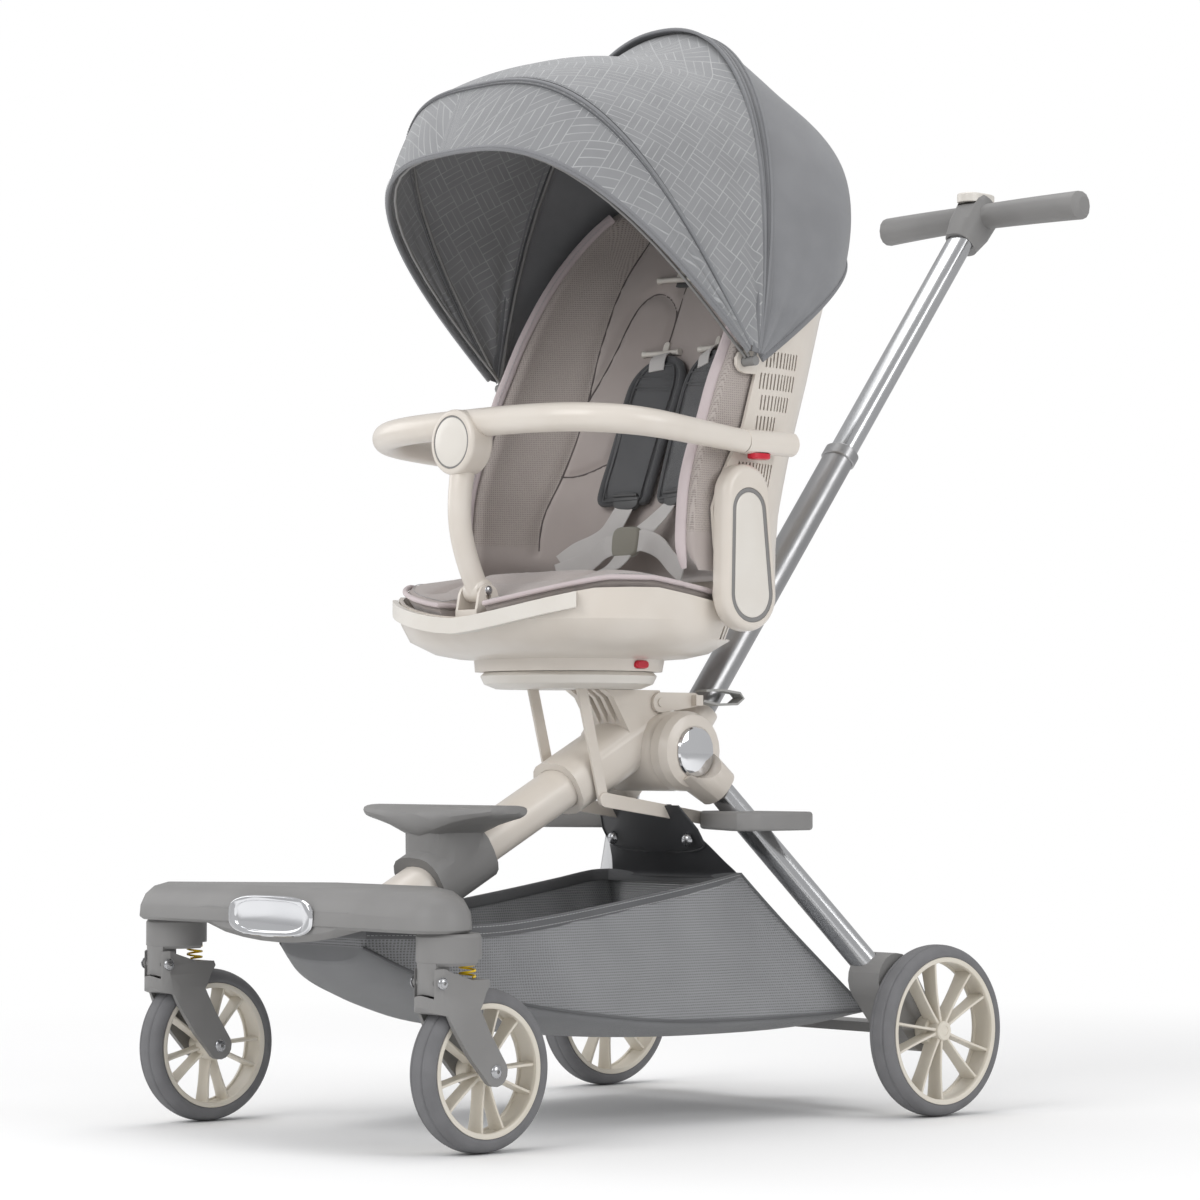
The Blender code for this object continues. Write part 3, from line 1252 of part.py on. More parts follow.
# Height and Y of the cushion's wings, which stand out in front of the shell's edge
WING_STATIONS = (
    (0.532, 0.0410), (0.575, 0.0313), (0.610, 0.0320), (0.643, 0.0362), (0.675, 0.0461), (0.700, 0.0576),
    (0.745, 0.0741), (0.775, 0.0889), (0.820, 0.1120), (0.880, 0.1500), (0.930, 0.1900), (0.965, 0.2240),
    (0.985, 0.2500),
)


def station_at(stations, z):
    if z <= stations[0][0]:
        return stations[0][1:]
    for low, high in zip(stations, stations[1:]):
        if z <= high[0]:
            t = (z - low[0]) / (high[0] - low[0])
            return tuple(a + (b - a) * t for a, b in zip(low[1:], high[1:]))
    return stations[-1][1:]


def back_station(z):
    return station_at(BACK_STATIONS, z)


def u_point(angle, half_wide, depth, y0, z):
    return Vector((half_wide * signed_power(math.cos(angle), 2 / BACK_POWER),
                   y0 + depth * abs(math.sin(angle)) ** (2 / BACK_POWER), z))


def u_ring(z, offset, thick, lip=0.0, count=18, channel=None):
    y0, half_wide, depth = back_station(z)
    outer = [u_point(math.pi * i / count, half_wide - offset, depth - offset, y0 + lip, z)
             for i in range(count + 1)]
    inner = []
    for i in range(count + 1):
        angle = math.pi * (1 - i / count)
        deep = thick
        if channel:
            deep = thick * channel(u_point(angle, half_wide, depth, y0, z))
        inner.append(u_point(angle, half_wide - offset - deep, depth - offset - deep, y0 + lip, z))
    return outer + inner


def bumper_button(extra=0.0, deeper=0.0):
    # The release under the bar's end, with extra and deeper the pocket it is pressed into.
    top = BAR_Z - BAR_R - 0.0006 + 0.0014
    layers = ((-extra - deeper, 1), (0.0052, 1), (0.0062, 0.85))
    return loft([oval_ring((BAR_HALF_WIDTH, BAR_END_Y + 0.022, top - d), (1, 0, 0), (0, 1, 0),
                           (0.0065 + extra) * s, (0.014 + extra) * s, 2.6, 20) for d, s in layers])


def back_shell():
    rings = [u_ring(s[0], 0, WALL) for s in BACK_STATIONS]
    shell = loft(rings)
    clear = rod((-0.3, RECLINE_Y, RECLINE_Z), (0.3, RECLINE_Y, RECLINE_Z), EAR_R + 0.0022, 32)
    shell = cut(shell, clear)
    adds = []
    for s in (-1, 1):
        stub = rod((s * BAR_HALF_WIDTH, BAR_END_Y + GAP, BAR_Z), (s * BAR_HALF_WIDTH, BAR_END_Y + 0.068, BAR_Z), BAR_R + 0.0006)
        web = box((min(s * 0.1795, s * BAR_HALF_WIDTH), BAR_END_Y + 0.004, BAR_Z - 0.010),
                  (max(s * 0.1795, s * BAR_HALF_WIDTH), BAR_END_Y + 0.064, BAR_Z + 0.010))
        lug = plate([capsule((CANOPY_Y, CANOPY_Z), CANOPY_LUG_R, (CANOPY_Y + 0.030, CANOPY_Z), CANOPY_LUG_R, 5)],
                    WALL - 0.0004, "YZ", s * (BACK_HALF_WIDTH - WALL / 2))
        adds += [fuse(stub, web), lug]
    bore = rod((-0.3, CANOPY_Y, CANOPY_Z), (0.3, CANOPY_Y, CANOPY_Z), CANOPY_PIN_R + GAP, 12)
    return cut(fuse(shell, *adds), bore, bumper_button(GAP, BUMPER_BUTTON_STROKE),
               mirrored(bumper_button(GAP, BUMPER_BUTTON_STROKE)))


def side_cover():
    inner = BACK_HALF_WIDTH + 0.0008
    shape = capsule((RECLINE_Y, RECLINE_Z), COVER_LOW_R, (COVER_TOP_Y, COVER_TOP_Z), COVER_TOP_R, 9)
    cover = plate([shape], COVER_THICK, "YZ", inner + COVER_THICK / 2, 0.005)
    pin = rod((inner - 0.009, RECLINE_Y, RECLINE_Z), (inner + 0.004, RECLINE_Y, RECLINE_Z), 0.008)
    return fuse(cover, pin)


def cushion_channel(x, z):
    # Full thickness with a crown between sewn lines at the middle pad's edges and across it.
    thick = 1.0
    for line in (0.085, 0.130):
        thick -= 0.30 * math.exp(-((abs(x) - line) / 0.007) ** 2)
    for level in (0.640, 0.770):
        thick -= 0.30 * math.exp(-((z - level) / 0.008) ** 2) * (1 if abs(x) < 0.085 else 0)
    return thick


def cushion_face(x, z):
    # Y of the cushion's front over the width, shallower and rounder than the shell.
    half_wide = back_station(z)[1]
    front = station_at(WING_STATIONS, z)[0]
    half = half_wide - WALL - 0.0006 - CUSHION_THICK
    reach = max(0.0, 1 - (abs(x) / half) ** CUSHION_POWER) ** (1 / CUSHION_POWER)
    middle = FACE_LOW_Y + (FACE_HIGH_Y - FACE_LOW_Y) * max(0.0, (z - 0.55) / 0.42) ** 1.35
    return front + (middle - front) * reach


def cushion_facet(x, z):
    # Y of the flat facet that spans two columns of the cushion's front.
    half = back_station(z)[1] - CUSHION_OFFSET - CUSHION_THICK
    rims = []
    for k in range(CUSHION_COLUMNS + 1):
        u = half * signed_power(math.cos(math.pi * k / CUSHION_COLUMNS), 2 / 2.2)
        rims.append((u, cushion_face(u, z) + (1 - cushion_channel(u, 0.70)) * CUSHION_THICK))
    for (u, y), (v, w) in zip(rims, rims[1:]):
        if v <= x <= u:
            return y + (w - y) * (u - x) / (u - v)
    return rims[0][1]


def back_cushion():
    low = 0.553
    high = BACK_TOP_Z - 0.014
    offset = CUSHION_OFFSET
    columns = CUSHION_COLUMNS
    steps = 13
    rings = []
    for i in range(steps + 1):
        t = i / steps
        z = low + (high - low) * t
        y0, half_wide, depth = back_station(z)
        front = station_at(WING_STATIONS, z)[0]
        edge = min(1.0, min(t, 1 - t) * 10 + 0.25)
        outer = [u_point(math.pi * k / columns, half_wide - offset, y0 + depth - offset - front, front, z)
                 for k in range(columns + 1)]
        inner = []
        for k in range(columns + 1):
            angle = math.pi * (1 - k / columns)
            x = (half_wide - offset - CUSHION_THICK) * signed_power(math.cos(angle), 2 / 2.2)
            face = cushion_face(x, z) + (1 - cushion_channel(x, z)) * CUSHION_THICK
            deep = outer[columns - k]
            inner.append(deep.lerp(Vector((x, face, z)), edge))
        # The wing's front is rounded: its middle stands out and its two corners draw back.
        for end in (outer[0], outer[-1], inner[0], inner[-1]):
            end.y += 0.005 * edge
        noses = [((a + b) / 2 - Vector((0, 0.005 * edge, 0))) for a, b in ((outer[-1], inner[0]), (inner[-1], outer[0]))]
        rings.append(outer + [noses[0]] + inner + [noses[1]])
    pad = loft(rings)
    ears = rod((-0.3, RECLINE_Y, RECLINE_Z), (0.3, RECLINE_Y, RECLINE_Z), EAR_R + 0.003, 24)
    return cut(pad, ears)


def ribbon(line, half_wide, thick):
    rings = []
    for x, y, z in line:
        rings.append([(x - half_wide, y, z), (x + half_wide, y, z),
                      (x + half_wide, y - thick, z), (x - half_wide, y - thick, z)])
    return loft(rings)


def harness():
    pieces = []
    clear = 0.0009
    for s in (-1, 1):
        web_line = []
        for z in (0.890, 0.840, 0.790, 0.740, 0.690, 0.645, 0.610):
            x = s * (0.046 + 0.006 * (0.89 - z) / 0.28)
            face = min(cushion_facet(x + side, z) for side in (-0.024, -0.012, 0, 0.012, 0.024))
            web_line.append((x, face - clear, z))
        web_line.append((s * 0.040, web_line[-1][1] - 0.012, 0.590))
        web_line.append((s * 0.020, 0.088, 0.575))
        pieces.append(ribbon(web_line, 0.011, 0.0022))
        pad_line = [(x, y + 0.0005, z) for x, y, z in web_line if 0.62 < z < 0.80]
        pieces.append(ribbon(pad_line, 0.024, 0.013))
    buckle = box((-0.030, 0.076, 0.560), (0.030, 0.092, 0.585), 0.004, 2)
    return fuse(buckle, *pieces)


part("back_shell", back_shell(), cream, "backrest")
both_sides("side_cover", side_cover(), cream, "backrest")
part("back_cushion", back_cushion(), seat_cloth, "backrest")
part("harness", harness(), strap_cloth, "backrest")


# Bumper bar on its swing post

def bar_solid(extra=0.0):
    # The bar climbs and thickens from its rear ends to the front.
    plan = [(BAR_HALF_WIDTH, BAR_END_Y), (BAR_HALF_WIDTH, BAR_END_Y * 0.5)]
    steps = 18
    for i in range(steps + 1):
        angle = math.pi * i / steps
        plan.append((BAR_HALF_WIDTH * signed_power(math.cos(angle), 2 / BAR_POWER),
                     -BAR_FRONT * math.sin(angle) ** (2 / BAR_POWER)))
    plan += [(-BAR_HALF_WIDTH, BAR_END_Y * 0.5), (-BAR_HALF_WIDTH, BAR_END_Y)]
    rings = []
    for i, (x, y) in enumerate(plan):
        a = Vector(plan[max(i - 1, 0)])
        b = Vector(plan[min(i + 1, len(plan) - 1)])
        way = (b - a).normalized()
        ahead = (BAR_END_Y - y) / (BAR_END_Y + BAR_FRONT)
        radius = BAR_R + (BAR_FRONT_R - BAR_R) * min(1.0, ahead * 1.3) + extra
        rings.append(oval_ring((x, y, BAR_Z + BAR_RISE * ahead), (-way.y, way.x, 0), (0, 0, 1),
                               radius, radius, 2.0, 10))
    return loft(rings)


def disc_solid(extra=0.0):
    edge = 0.005
    radius = DISC_R + extra
    half = DISC_THICK / 2 + extra
    return turned([
        (0, half), (radius - edge, half), (radius, half - edge), (radius, -half + edge),
        (radius - edge, -half), (0, -half),
    ], (0, DISC_Y, DISC_Z), "Y", 24)


def cap_well(extra=0.0):
    face = DISC_Y - DISC_THICK / 2
    return rod((0, face + 0.003 + extra, DISC_Z), (0, face - 0.001 - extra, DISC_Z), DISC_R - 0.006 + extra, 24)


def bumper_bar():
    return cut(fuse(bar_solid(), disc_solid()), cap_well(GAP))


def bumper_post():
    top = Vector((0, DISC_Y + 0.001, DISC_Z - DISC_R + 0.008))
    foot = Vector((0, BRACKET_Y, BUMPER_PIVOT_Z))
    line = []
    for i in range(9):
        t = i / 8
        bow = 0.013 * math.sin(math.pi * t)
        line.append(foot.lerp(top, t) + Vector((0, -bow, 0)))
    post = round_tube(line, POST_R, 2)
    foot_block = rod((-POST_R, foot.y, foot.z), (POST_R, foot.y, foot.z), 0.0115, 20)
    pin = rod((-POST_R - 0.004, foot.y, foot.z), (POST_R + 0.004, foot.y, foot.z), 0.003, 16)
    post = fuse(post, foot_block, pin)
    return cut(post, disc_solid(GAP), bar_solid(GAP))


part("bumper_bar", bumper_bar(), cream, "bumper")
part("bumper_post", bumper_post(), cream, "bumper")
part("bumper_cap", cap_well(), white, "bumper")
both_sides("bumper_button", bumper_button(), red, "bumper_button", own_body=True)


# Canopy: three wire hoops on pins in the backrest's lugs and three stretches of cloth

def hoop_point(hoop, angle, inset, half_wide):
    height, tilt, power = hoop
    lean = math.radians(tilt)
    up = (height - inset) * math.sin(angle) ** (2 / power)
    return Vector((half_wide * signed_power(math.cos(angle), 2 / power),
                   CANOPY_Y - up * math.sin(lean), CANOPY_Z + up * math.cos(lean)))


def hoop_wire(hoop, slot):
    half_wide = CANOPY_HALF_WIDTH - 0.0036 - WIRE_PITCH * slot
    lean = math.radians(hoop[1])
    way = Vector((0, -math.sin(lean), math.cos(lean)))
    centre = Vector(canopy_axis)
    inset = CANOPY_SKIN / 2 + GAP + WIRE_R
    foot = CANOPY_PIN_R + GAP
    points = [centre + Vector((half_wide, 0, 0)) + way * foot]
    for i in range(1, CLOTH_COLUMNS):
        points.append(hoop_point(hoop, math.pi * i / CLOTH_COLUMNS, inset, half_wide))
    points.append(centre + Vector((-half_wide, 0, 0)) + way * foot)
    return round_tube(points, WIRE_R, 1)


def pinned_hoop(hoop):
    # The hoop that the others turn on, with its pins through the shell's lugs.
    adds = []
    for s in (-1, 1):
        adds.append(rod((s * (BACK_HALF_WIDTH - WALL - 0.0006), CANOPY_Y, CANOPY_Z),
                        (s * (CANOPY_HALF_WIDTH - 0.0014), CANOPY_Y, CANOPY_Z), CANOPY_PIN_R, 10))
        lean = math.radians(hoop[1])
        way = Vector((0, -math.sin(lean), math.cos(lean)))
        at = Vector((s * (CANOPY_HALF_WIDTH - 0.0036), CANOPY_Y, CANOPY_Z))
        adds.append(rod(at + way * 0.001, at + way * (CANOPY_PIN_R + GAP + 0.001), WIRE_R * 0.9, 6))
    return fuse(hoop_wire(hoop, 0), *adds)


def cloth(hoops, steps, count=CLOTH_COLUMNS):
    # Taut cloth ruled from hoop to hoop, two skins a thickness apart, closed round its four edges.
    angles = [math.radians(0.6), math.radians(2.8)] + [math.pi * i / count for i in range(1, count // 2 + 1)]
    angles += [math.pi - a for a in reversed(angles[:-1])]
    skins = []
    for inset, half_wide in ((-CANOPY_SKIN / 2, CANOPY_HALF_WIDTH + CANOPY_SKIN / 2),
                             (CANOPY_SKIN / 2, CANOPY_HALF_WIDTH - CANOPY_SKIN / 2)):
        skins.append([[hoop_point(hoop, angle, inset, half_wide) for angle in angles] for hoop in hoops])
    rows = []
    for k in range(len(hoops) - 1):
        for j in range(steps + (k == len(hoops) - 2)):
            t = j / steps
            outer = [a.lerp(b, t) for a, b in zip(skins[0][k], skins[0][k + 1])]
            inner = [a.lerp(b, t) for a, b in zip(skins[1][k], skins[1][k + 1])]
            rows.append(outer + list(reversed(inner)))
    return loft(rows, thin=True)


def nudge(hoop, degrees):
    # The same hoop a little further round, so neighbouring cloths keep clear of each other.
    return (hoop[0], hoop[1] + degrees, hoop[2])


part("canopy_hoop_front", hoop_wire(FRONT_HOOP, 2), grey, "canopy_front")
part("canopy_hoop_top", hoop_wire(TOP_HOOP, 1), grey, "canopy_top")
part("canopy_hoop_mid", pinned_hoop(MID_HOOP), grey, "canopy_mid")
part("canopy_cloth_front", cloth([nudge(FRONT_HOOP, -CLOTH_GAP), nudge(TOP_HOOP, CLOTH_GAP)], 2),
     canopy_cloth, "canopy_top")
part("canopy_cloth_mid", cloth([nudge(TOP_HOOP, -CLOTH_GAP), SAG_HOOP, nudge(MID_HOOP, CLOTH_GAP)], 2),
     canopy_cloth, "canopy_mid")
part("canopy_cloth_rear", cloth([nudge(MID_HOOP, -CLOTH_GAP), REAR_HOOP, HEM_HOOP], 2),
     canopy_cloth, "backrest")


# Basket: an open boat of net under the front tube, with a flap that buttons up behind

BASKET_DECK_Z = DECK_UNDER_Z - GAP - 0.0003

# Y at the rim and at the seam, half width at the rim and at the seam, heights of seam, belly and rim
BASKET_STATIONS = (
    (-0.300, -0.300, 0.070, 0.064, 0.185, 0.170, BASKET_DECK_Z),
    (-0.262, -0.262, 0.096, 0.090, 0.162, 0.142, BASKET_DECK_Z),
    (-0.216, -0.216, 0.108, 0.106, 0.146, 0.122, BASKET_DECK_Z),
    (-0.189, -0.189, 0.110, 0.110, 0.138, 0.112, BASKET_DECK_Z),
    (-0.150, -0.150, 0.110, 0.118, 0.128, 0.101, 0.206),
    (-0.080, -0.080, 0.110, 0.138, 0.116, 0.091, 0.213),
    (0.020, 0.020, 0.110, 0.152, 0.105, 0.083, 0.226),
    (0.100, 0.130, 0.110, 0.166, 0.103, 0.081, 0.2375),
    (0.150, 0.215, 0.108, 0.180, 0.105, 0.085, 0.2455),
    (0.168, 0.261, 0.100, 0.190, 0.107, 0.098, 0.2465),
)

# Y, height and half width of the flap that closes the back
BASKET_FLAP = ((0.1718, 0.2405, 0.094), (0.1675, 0.2470, 0.093), (0.141, 0.282, 0.070),
               (0.1355, 0.2900, BASKET_FLAP_HALF), (0.1200, BASKET_FLAP_TOP_Z, BASKET_FLAP_HALF))


def basket_section(station, inset):
    # Straight stretched walls that splay out to a seam, and a belly that hangs below it.
    rim_y, seam_y, half_rim, half_seam, seam_z, belly_z, rim_z = station
    side = [(half_rim - inset, rim_z), ((half_rim + half_seam) / 2 - inset, (rim_z + seam_z) / 2)]
    count = 10
    deep = seam_z - belly_z - inset
    for i in range(count // 2):
        angle = math.pi * i / count
        side.append(((half_seam - inset) * math.cos(angle) ** (2 / 2.6), seam_z - deep * math.sin(angle) ** (2 / 2.2)))
    outline = side + [(0, seam_z - deep)] + [(-x, z) for x, z in reversed(side)]
    slope = (seam_y - rim_y) / (rim_z - seam_z)
    return [Vector((x, rim_y + slope * (rim_z - z), z)) for x, z in outline]


def basket():
    body = loft([basket_section(s, 0) for s in BASKET_STATIONS])
    inner = []
    for i, s in enumerate(BASKET_STATIONS):
        way = (i == 0) - 1.2 * (i == len(BASKET_STATIONS) - 1)
        ring = basket_section((s[0] + BASKET_SKIN * way, s[1] + BASKET_SKIN * way, *s[2:]), BASKET_SKIN)
        inner.append([ring[0] + Vector((0, 0, 0.05))] + ring + [ring[-1] + Vector((0, 0, 0.05))])
    bag = cut(body, loft(inner))
    rows = []
    for y, z, half in BASKET_FLAP:
        rows.append([(-half, y - BASKET_SKIN, z), (half, y - BASKET_SKIN, z), (half, y, z), (-half, y, z)])
    return fuse(bag, loft(rows))


part("basket", basket(), net_cloth)
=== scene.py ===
import json
import math
from math import cos, exp, pi, radians, sin
import bpy
import bmesh
from mathutils import Matrix, Vector, noise

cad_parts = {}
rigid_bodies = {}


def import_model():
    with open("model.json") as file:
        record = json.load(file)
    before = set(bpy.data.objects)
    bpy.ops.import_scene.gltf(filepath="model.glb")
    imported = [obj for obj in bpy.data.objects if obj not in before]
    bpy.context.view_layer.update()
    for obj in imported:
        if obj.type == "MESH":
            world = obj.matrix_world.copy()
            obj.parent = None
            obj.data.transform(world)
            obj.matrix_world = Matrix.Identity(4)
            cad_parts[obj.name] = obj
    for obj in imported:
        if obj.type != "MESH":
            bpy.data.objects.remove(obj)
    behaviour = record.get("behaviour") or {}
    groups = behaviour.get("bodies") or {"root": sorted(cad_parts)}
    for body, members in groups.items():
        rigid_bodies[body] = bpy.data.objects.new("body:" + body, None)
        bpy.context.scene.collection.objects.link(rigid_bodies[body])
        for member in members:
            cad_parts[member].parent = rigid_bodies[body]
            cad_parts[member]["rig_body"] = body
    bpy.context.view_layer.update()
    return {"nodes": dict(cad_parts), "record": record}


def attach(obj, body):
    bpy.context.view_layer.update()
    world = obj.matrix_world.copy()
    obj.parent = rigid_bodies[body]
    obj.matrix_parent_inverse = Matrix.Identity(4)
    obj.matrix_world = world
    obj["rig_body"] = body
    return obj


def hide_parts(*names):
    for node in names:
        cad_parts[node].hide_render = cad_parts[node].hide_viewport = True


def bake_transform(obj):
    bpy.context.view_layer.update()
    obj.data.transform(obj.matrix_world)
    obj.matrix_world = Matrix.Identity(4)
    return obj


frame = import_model()
nodes = frame["nodes"]
# Pieces are drawn from the wheelbase's own origin, and the row frame lies this much further back.
backShift = -0.154684
print("frame loaded")


# Colours and shader nodes

def linearColour(code):
    parts = [int(code[i:i + 2], 16) / 255 for i in (1, 3, 5)]
    return tuple(c / 12.92 if c <= 0.04045 else ((c + 0.055) / 1.055) ** 2.4 for c in parts) + (1.0,)


def addNode(tree, kind, inputs=None, **settings):
    node = tree.nodes.new(kind)
    for name, value in settings.items():
        setattr(node, name, value)
    for key, value in (inputs or {}).items():
        socket = node.inputs[key]
        if isinstance(value, bpy.types.NodeSocket):
            tree.links.new(value, socket)
        else:
            socket.default_value = linearColour(value) if isinstance(value, str) else value
    return node


def shade(tree, kind, inputs=None, output=0, **settings):
    # One shader node, given as one of its outputs.
    return addNode(tree, "ShaderNode" + kind, inputs, **settings).outputs[output]


def maths(tree, operation, a, b=0.0):
    return shade(tree, "Math", {0: a, 1: b}, operation=operation)


def cloud(tree, where, sizeMm, detail):
    return shade(tree, "TexNoise", {"Vector": where, "Scale": 1000 / sizeMm, "Detail": detail})


def ranged(tree, value, lowIn, highIn, lowOut=0.0, highOut=1.0, shape="SMOOTHSTEP"):
    return shade(tree, "MapRange", {"Value": value, "From Min": lowIn, "From Max": highIn, "To Min": lowOut,
                                    "To Max": highOut}, interpolation_type=shape)


def newMaterial(name, **sockets):
    material = bpy.data.materials.new(name)
    material.use_nodes = True
    tree = material.node_tree
    tree.nodes.clear()
    shader = addNode(tree, "ShaderNodeBsdfPrincipled", {k.replace("_", " "): v for k, v in sockets.items()})
    addNode(tree, "ShaderNodeOutputMaterial", {"Surface": shader.outputs[0]})
    return material, tree, shader


def overlaid(tree, share, below, above):
    mix = shade(tree, "MixShader", {0: share, 1: below, 2: above})
    tree.links.new(mix, tree.nodes["Material Output"].inputs["Surface"])


def tinted(tree, shader, where, sizeMm, colours, detail=2.0):
    # A slow change between two close colours, of the size given.
    ramp = addNode(tree, "ShaderNodeValToRGB", {"Fac": cloud(tree, where, sizeMm, detail)})
    for element, place, colour in zip(ramp.color_ramp.elements, (0.35, 0.65), colours):
        element.position = place
        element.color = linearColour(colour)
    tree.links.new(ramp.outputs[0], shader.inputs["Base Color"])


def recoloured(tree, shader, share, first, second):
    # A mix in the base colour; where no colour is given, the one there stays.
    base = shader.inputs["Base Color"].links[0].from_socket
    mix = shade(tree, "Mix", {0: share, 6: first or base, 7: second or base}, 2, data_type="RGBA")
    tree.links.new(mix, shader.inputs["Base Color"])


def bumped(tree, shader, height, strength, depthMm):
    bump = shade(tree, "Bump", {"Height": height, "Strength": strength, "Distance": depthMm / 1000})
    tree.links.new(bump, shader.inputs["Normal"])


def mouldedPlastic(name, colours, roughness, grainMm, grain, coat=0.0):
    material, tree, shader = newMaterial(name, Roughness=roughness, IOR=1.5, Coat_Weight=coat,
                                         Coat_Roughness=0.12)
    where = shade(tree, "TexCoord", output="Object")
    tinted(tree, shader, where, 60, colours)
    bumped(tree, shader, cloud(tree, where, grainMm, 3.0), grain, grainMm * 0.4)
    return material


def turnedMetal(name, colours, roughness, streakMm, streak):
    # Long fine streaks along the drawing direction, which break the highlight a little.
    material, tree, shader = newMaterial(name, Metallic=1.0, Roughness=roughness)
    where = shade(tree, "TexCoord", output="Object")
    tinted(tree, shader, where, 90, colours)
    stretch = shade(tree, "Mapping", {"Vector": where, "Scale": (1.0, 0.06, 0.06)})
    lines = cloud(tree, stretch, streakMm, 2.0)
    rough = ranged(tree, lines, 0.0, 1.0, roughness * 0.75, roughness * 1.35, "LINEAR")
    tree.links.new(rough, shader.inputs["Roughness"])
    bumped(tree, shader, lines, streak, 0.02)
    return material


# ABS painted a warm cream, satin, with very faint orange peel
creamPaint = mouldedPlastic("satinPaintedAbs", ("#DAD3CA", "#D5CDC3"), 0.36, 1.6, 0.05, 0.25)
offWhite = mouldedPlastic("satinWhiteAbs", ("#DEDAD3", "#D9D4CC"), 0.38, 1.4, 0.05, 0.15)
# glass-filled polypropylene with a fine spark-eroded grain, so its highlight is broad and dull
greyNylon = mouldedPlastic("grainedPolypropylene", ("#858483", "#7F7E7D"), 0.52, 0.9, 0.22)
# dark grey nylon for the web sliders, and the same colour is the painted shade in the harness slots
darkNylonAndSlotShade = mouldedPlastic("darkGreyNylon", ("#545556", "#4C4D4E"), 0.5, 0.8, 0.15)
# wheels: unpainted, a little waxy
wheelPlastic = mouldedPlastic("creamPolypropylene", ("#DCD6CA", "#D6CFC1"), 0.42, 1.2, 0.08)
redAcetal = mouldedPlastic("redAcetal", ("#C8102E", "#BC0E2A"), 0.3, 1.0, 0.03, 0.2)
yellowWire = mouldedPlastic("powderCoatedSpringWire", ("#FFDA1F", "#FBD214"), 0.35, 0.5, 0.1, 0.3)
# drawn tube, polished; the handle's outer tube is the same, satin
polishedTube = turnedMetal("polishedAnodisedAluminium", ("#C9CACB", "#C6C7C9"), 0.2, 3.0, 0.0)
satinTube = turnedMetal("satinAnodisedAluminium", ("#A9A9AA", "#A1A1A2"), 0.34, 1.0, 0.12)
# nickel-chrome over ABS: a mirror with next to no texture
chromeSkin = turnedMetal("chromedAbs", ("#E3E4E6", "#DADBDE"), 0.06, 8.0, 0.01)
zincBolt = turnedMetal("zincPlatedSteel", ("#B9BABC", "#A9AAAD"), 0.25, 1.0, 0.08)


def foamTyre():
    # Closed-cell foam rubber: matt, with pores that show as fine speckle.
    material, tree, shader = newMaterial("closedCellTyreFoam", Roughness=0.78, IOR=1.5)
    where = shade(tree, "TexCoord", output="Object")
    tinted(tree, shader, where, 25, ("#6C6C6E", "#747476"), 5.0)
    bumped(tree, shader, shade(tree, "TexVoronoi", {"Vector": where, "Scale": 1000 / 1.1}), 0.25, 0.25)
    return material


tyreFoam = foamTyre()
slotFinish = {
    "cream_plastic": creamPaint, "cream_paint": creamPaint, "off_white_plastic": offWhite,
    "grey_plastic": greyNylon, "tyre_rubber": tyreFoam, "polished_aluminium": polishedTube,
    "chrome_plate": chromeSkin, "yellow_spring_steel": yellowWire, "red_plastic": redAcetal,
}
nodeSlot = {s["node"]: s["material_slot"] for s in frame["record"]["subparts"]}
print("materials made")


# Shaping helpers: every mesh is made here in the drawing's frame, and piece() moves it to the row frame

def linked(name, mesh):
    obj = bpy.data.objects.new(name, mesh)
    bpy.context.scene.collection.objects.link(obj)
    return obj


def meshObject(name, verts, faces, edges=()):
    mesh = bpy.data.meshes.new(name)
    mesh.from_pydata([tuple(v) for v in verts], edges, faces)
    mesh.validate()
    return linked(name, mesh)


def reworked(mesh, doubles, lastStep):
    # Joins what lies closer than doubles, then takes one more step.
    bm = bmesh.new()
    bm.from_mesh(mesh)
    bmesh.ops.remove_doubles(bm, verts=bm.verts, dist=doubles)
    lastStep(bm)
    bm.to_mesh(mesh)
    bm.free()


def outward(obj):
    reworked(obj.data, 1e-7, lambda bm: bmesh.ops.recalc_face_normals(bm, faces=bm.faces))
    return obj


def merged(name, *objs):
    # Several shells in one object.
    bm = bmesh.new()
    for obj in objs:
        bm.from_mesh(obj.data)
        bpy.data.objects.remove(obj)
    mesh = bpy.data.meshes.new(name)
    bm.to_mesh(mesh)
    bm.free()
    return linked(name, mesh)


def addModifier(obj, kind, **settings):
    modifier = obj.modifiers.new(kind.lower(), kind)
    for name, value in settings.items():
        setattr(modifier, name, value)
    return modifier


def applied(obj):
    mesh = bpy.data.meshes.new_from_object(obj.evaluated_get(bpy.context.evaluated_depsgraph_get()))
    obj.modifiers.clear()
    old = obj.data
    obj.data = mesh
    bpy.data.meshes.remove(old)
    return obj


def loftRings(name, rings, closedPath=False):
    count = len(rings[0])
    verts = [p for ring in rings for p in ring]
    faces = []
    for r in range(len(rings) if closedPath else len(rings) - 1):
        a, b = r * count, (r + 1) % len(rings) * count
        faces += [(a + i, a + (i + 1) % count, b + (i + 1) % count, b + i) for i in range(count)]
    if not closedPath:
        faces.append(tuple(reversed(range(count))))
        faces.append(tuple(range(len(verts) - count, len(verts))))
    return outward(meshObject(name, verts, faces))


def powered(value, power):
    return math.copysign(abs(value) ** power, value)


def ovalRing(centre, side, up, halfWide, halfDeep, power, count):
    side, up = Vector(side).normalized(), Vector(up).normalized()
    turns = [2 * pi * i / count for i in range(count)]
    return [Vector(centre) + side * halfWide * powered(cos(a), 2 / power)
            + up * halfDeep * powered(sin(a), 2 / power) for a in turns]


def layered(name, foot, up, across, tall, halfWide, halfTall, layers, power, count):
    # A plate or a rod built up from foot; layers hold (distance, how far the edge draws in).
    return loftRings(name, [ovalRing(foot + up * d, across, tall, halfWide - e, halfTall - e, power, count)
                            for d, e in layers])


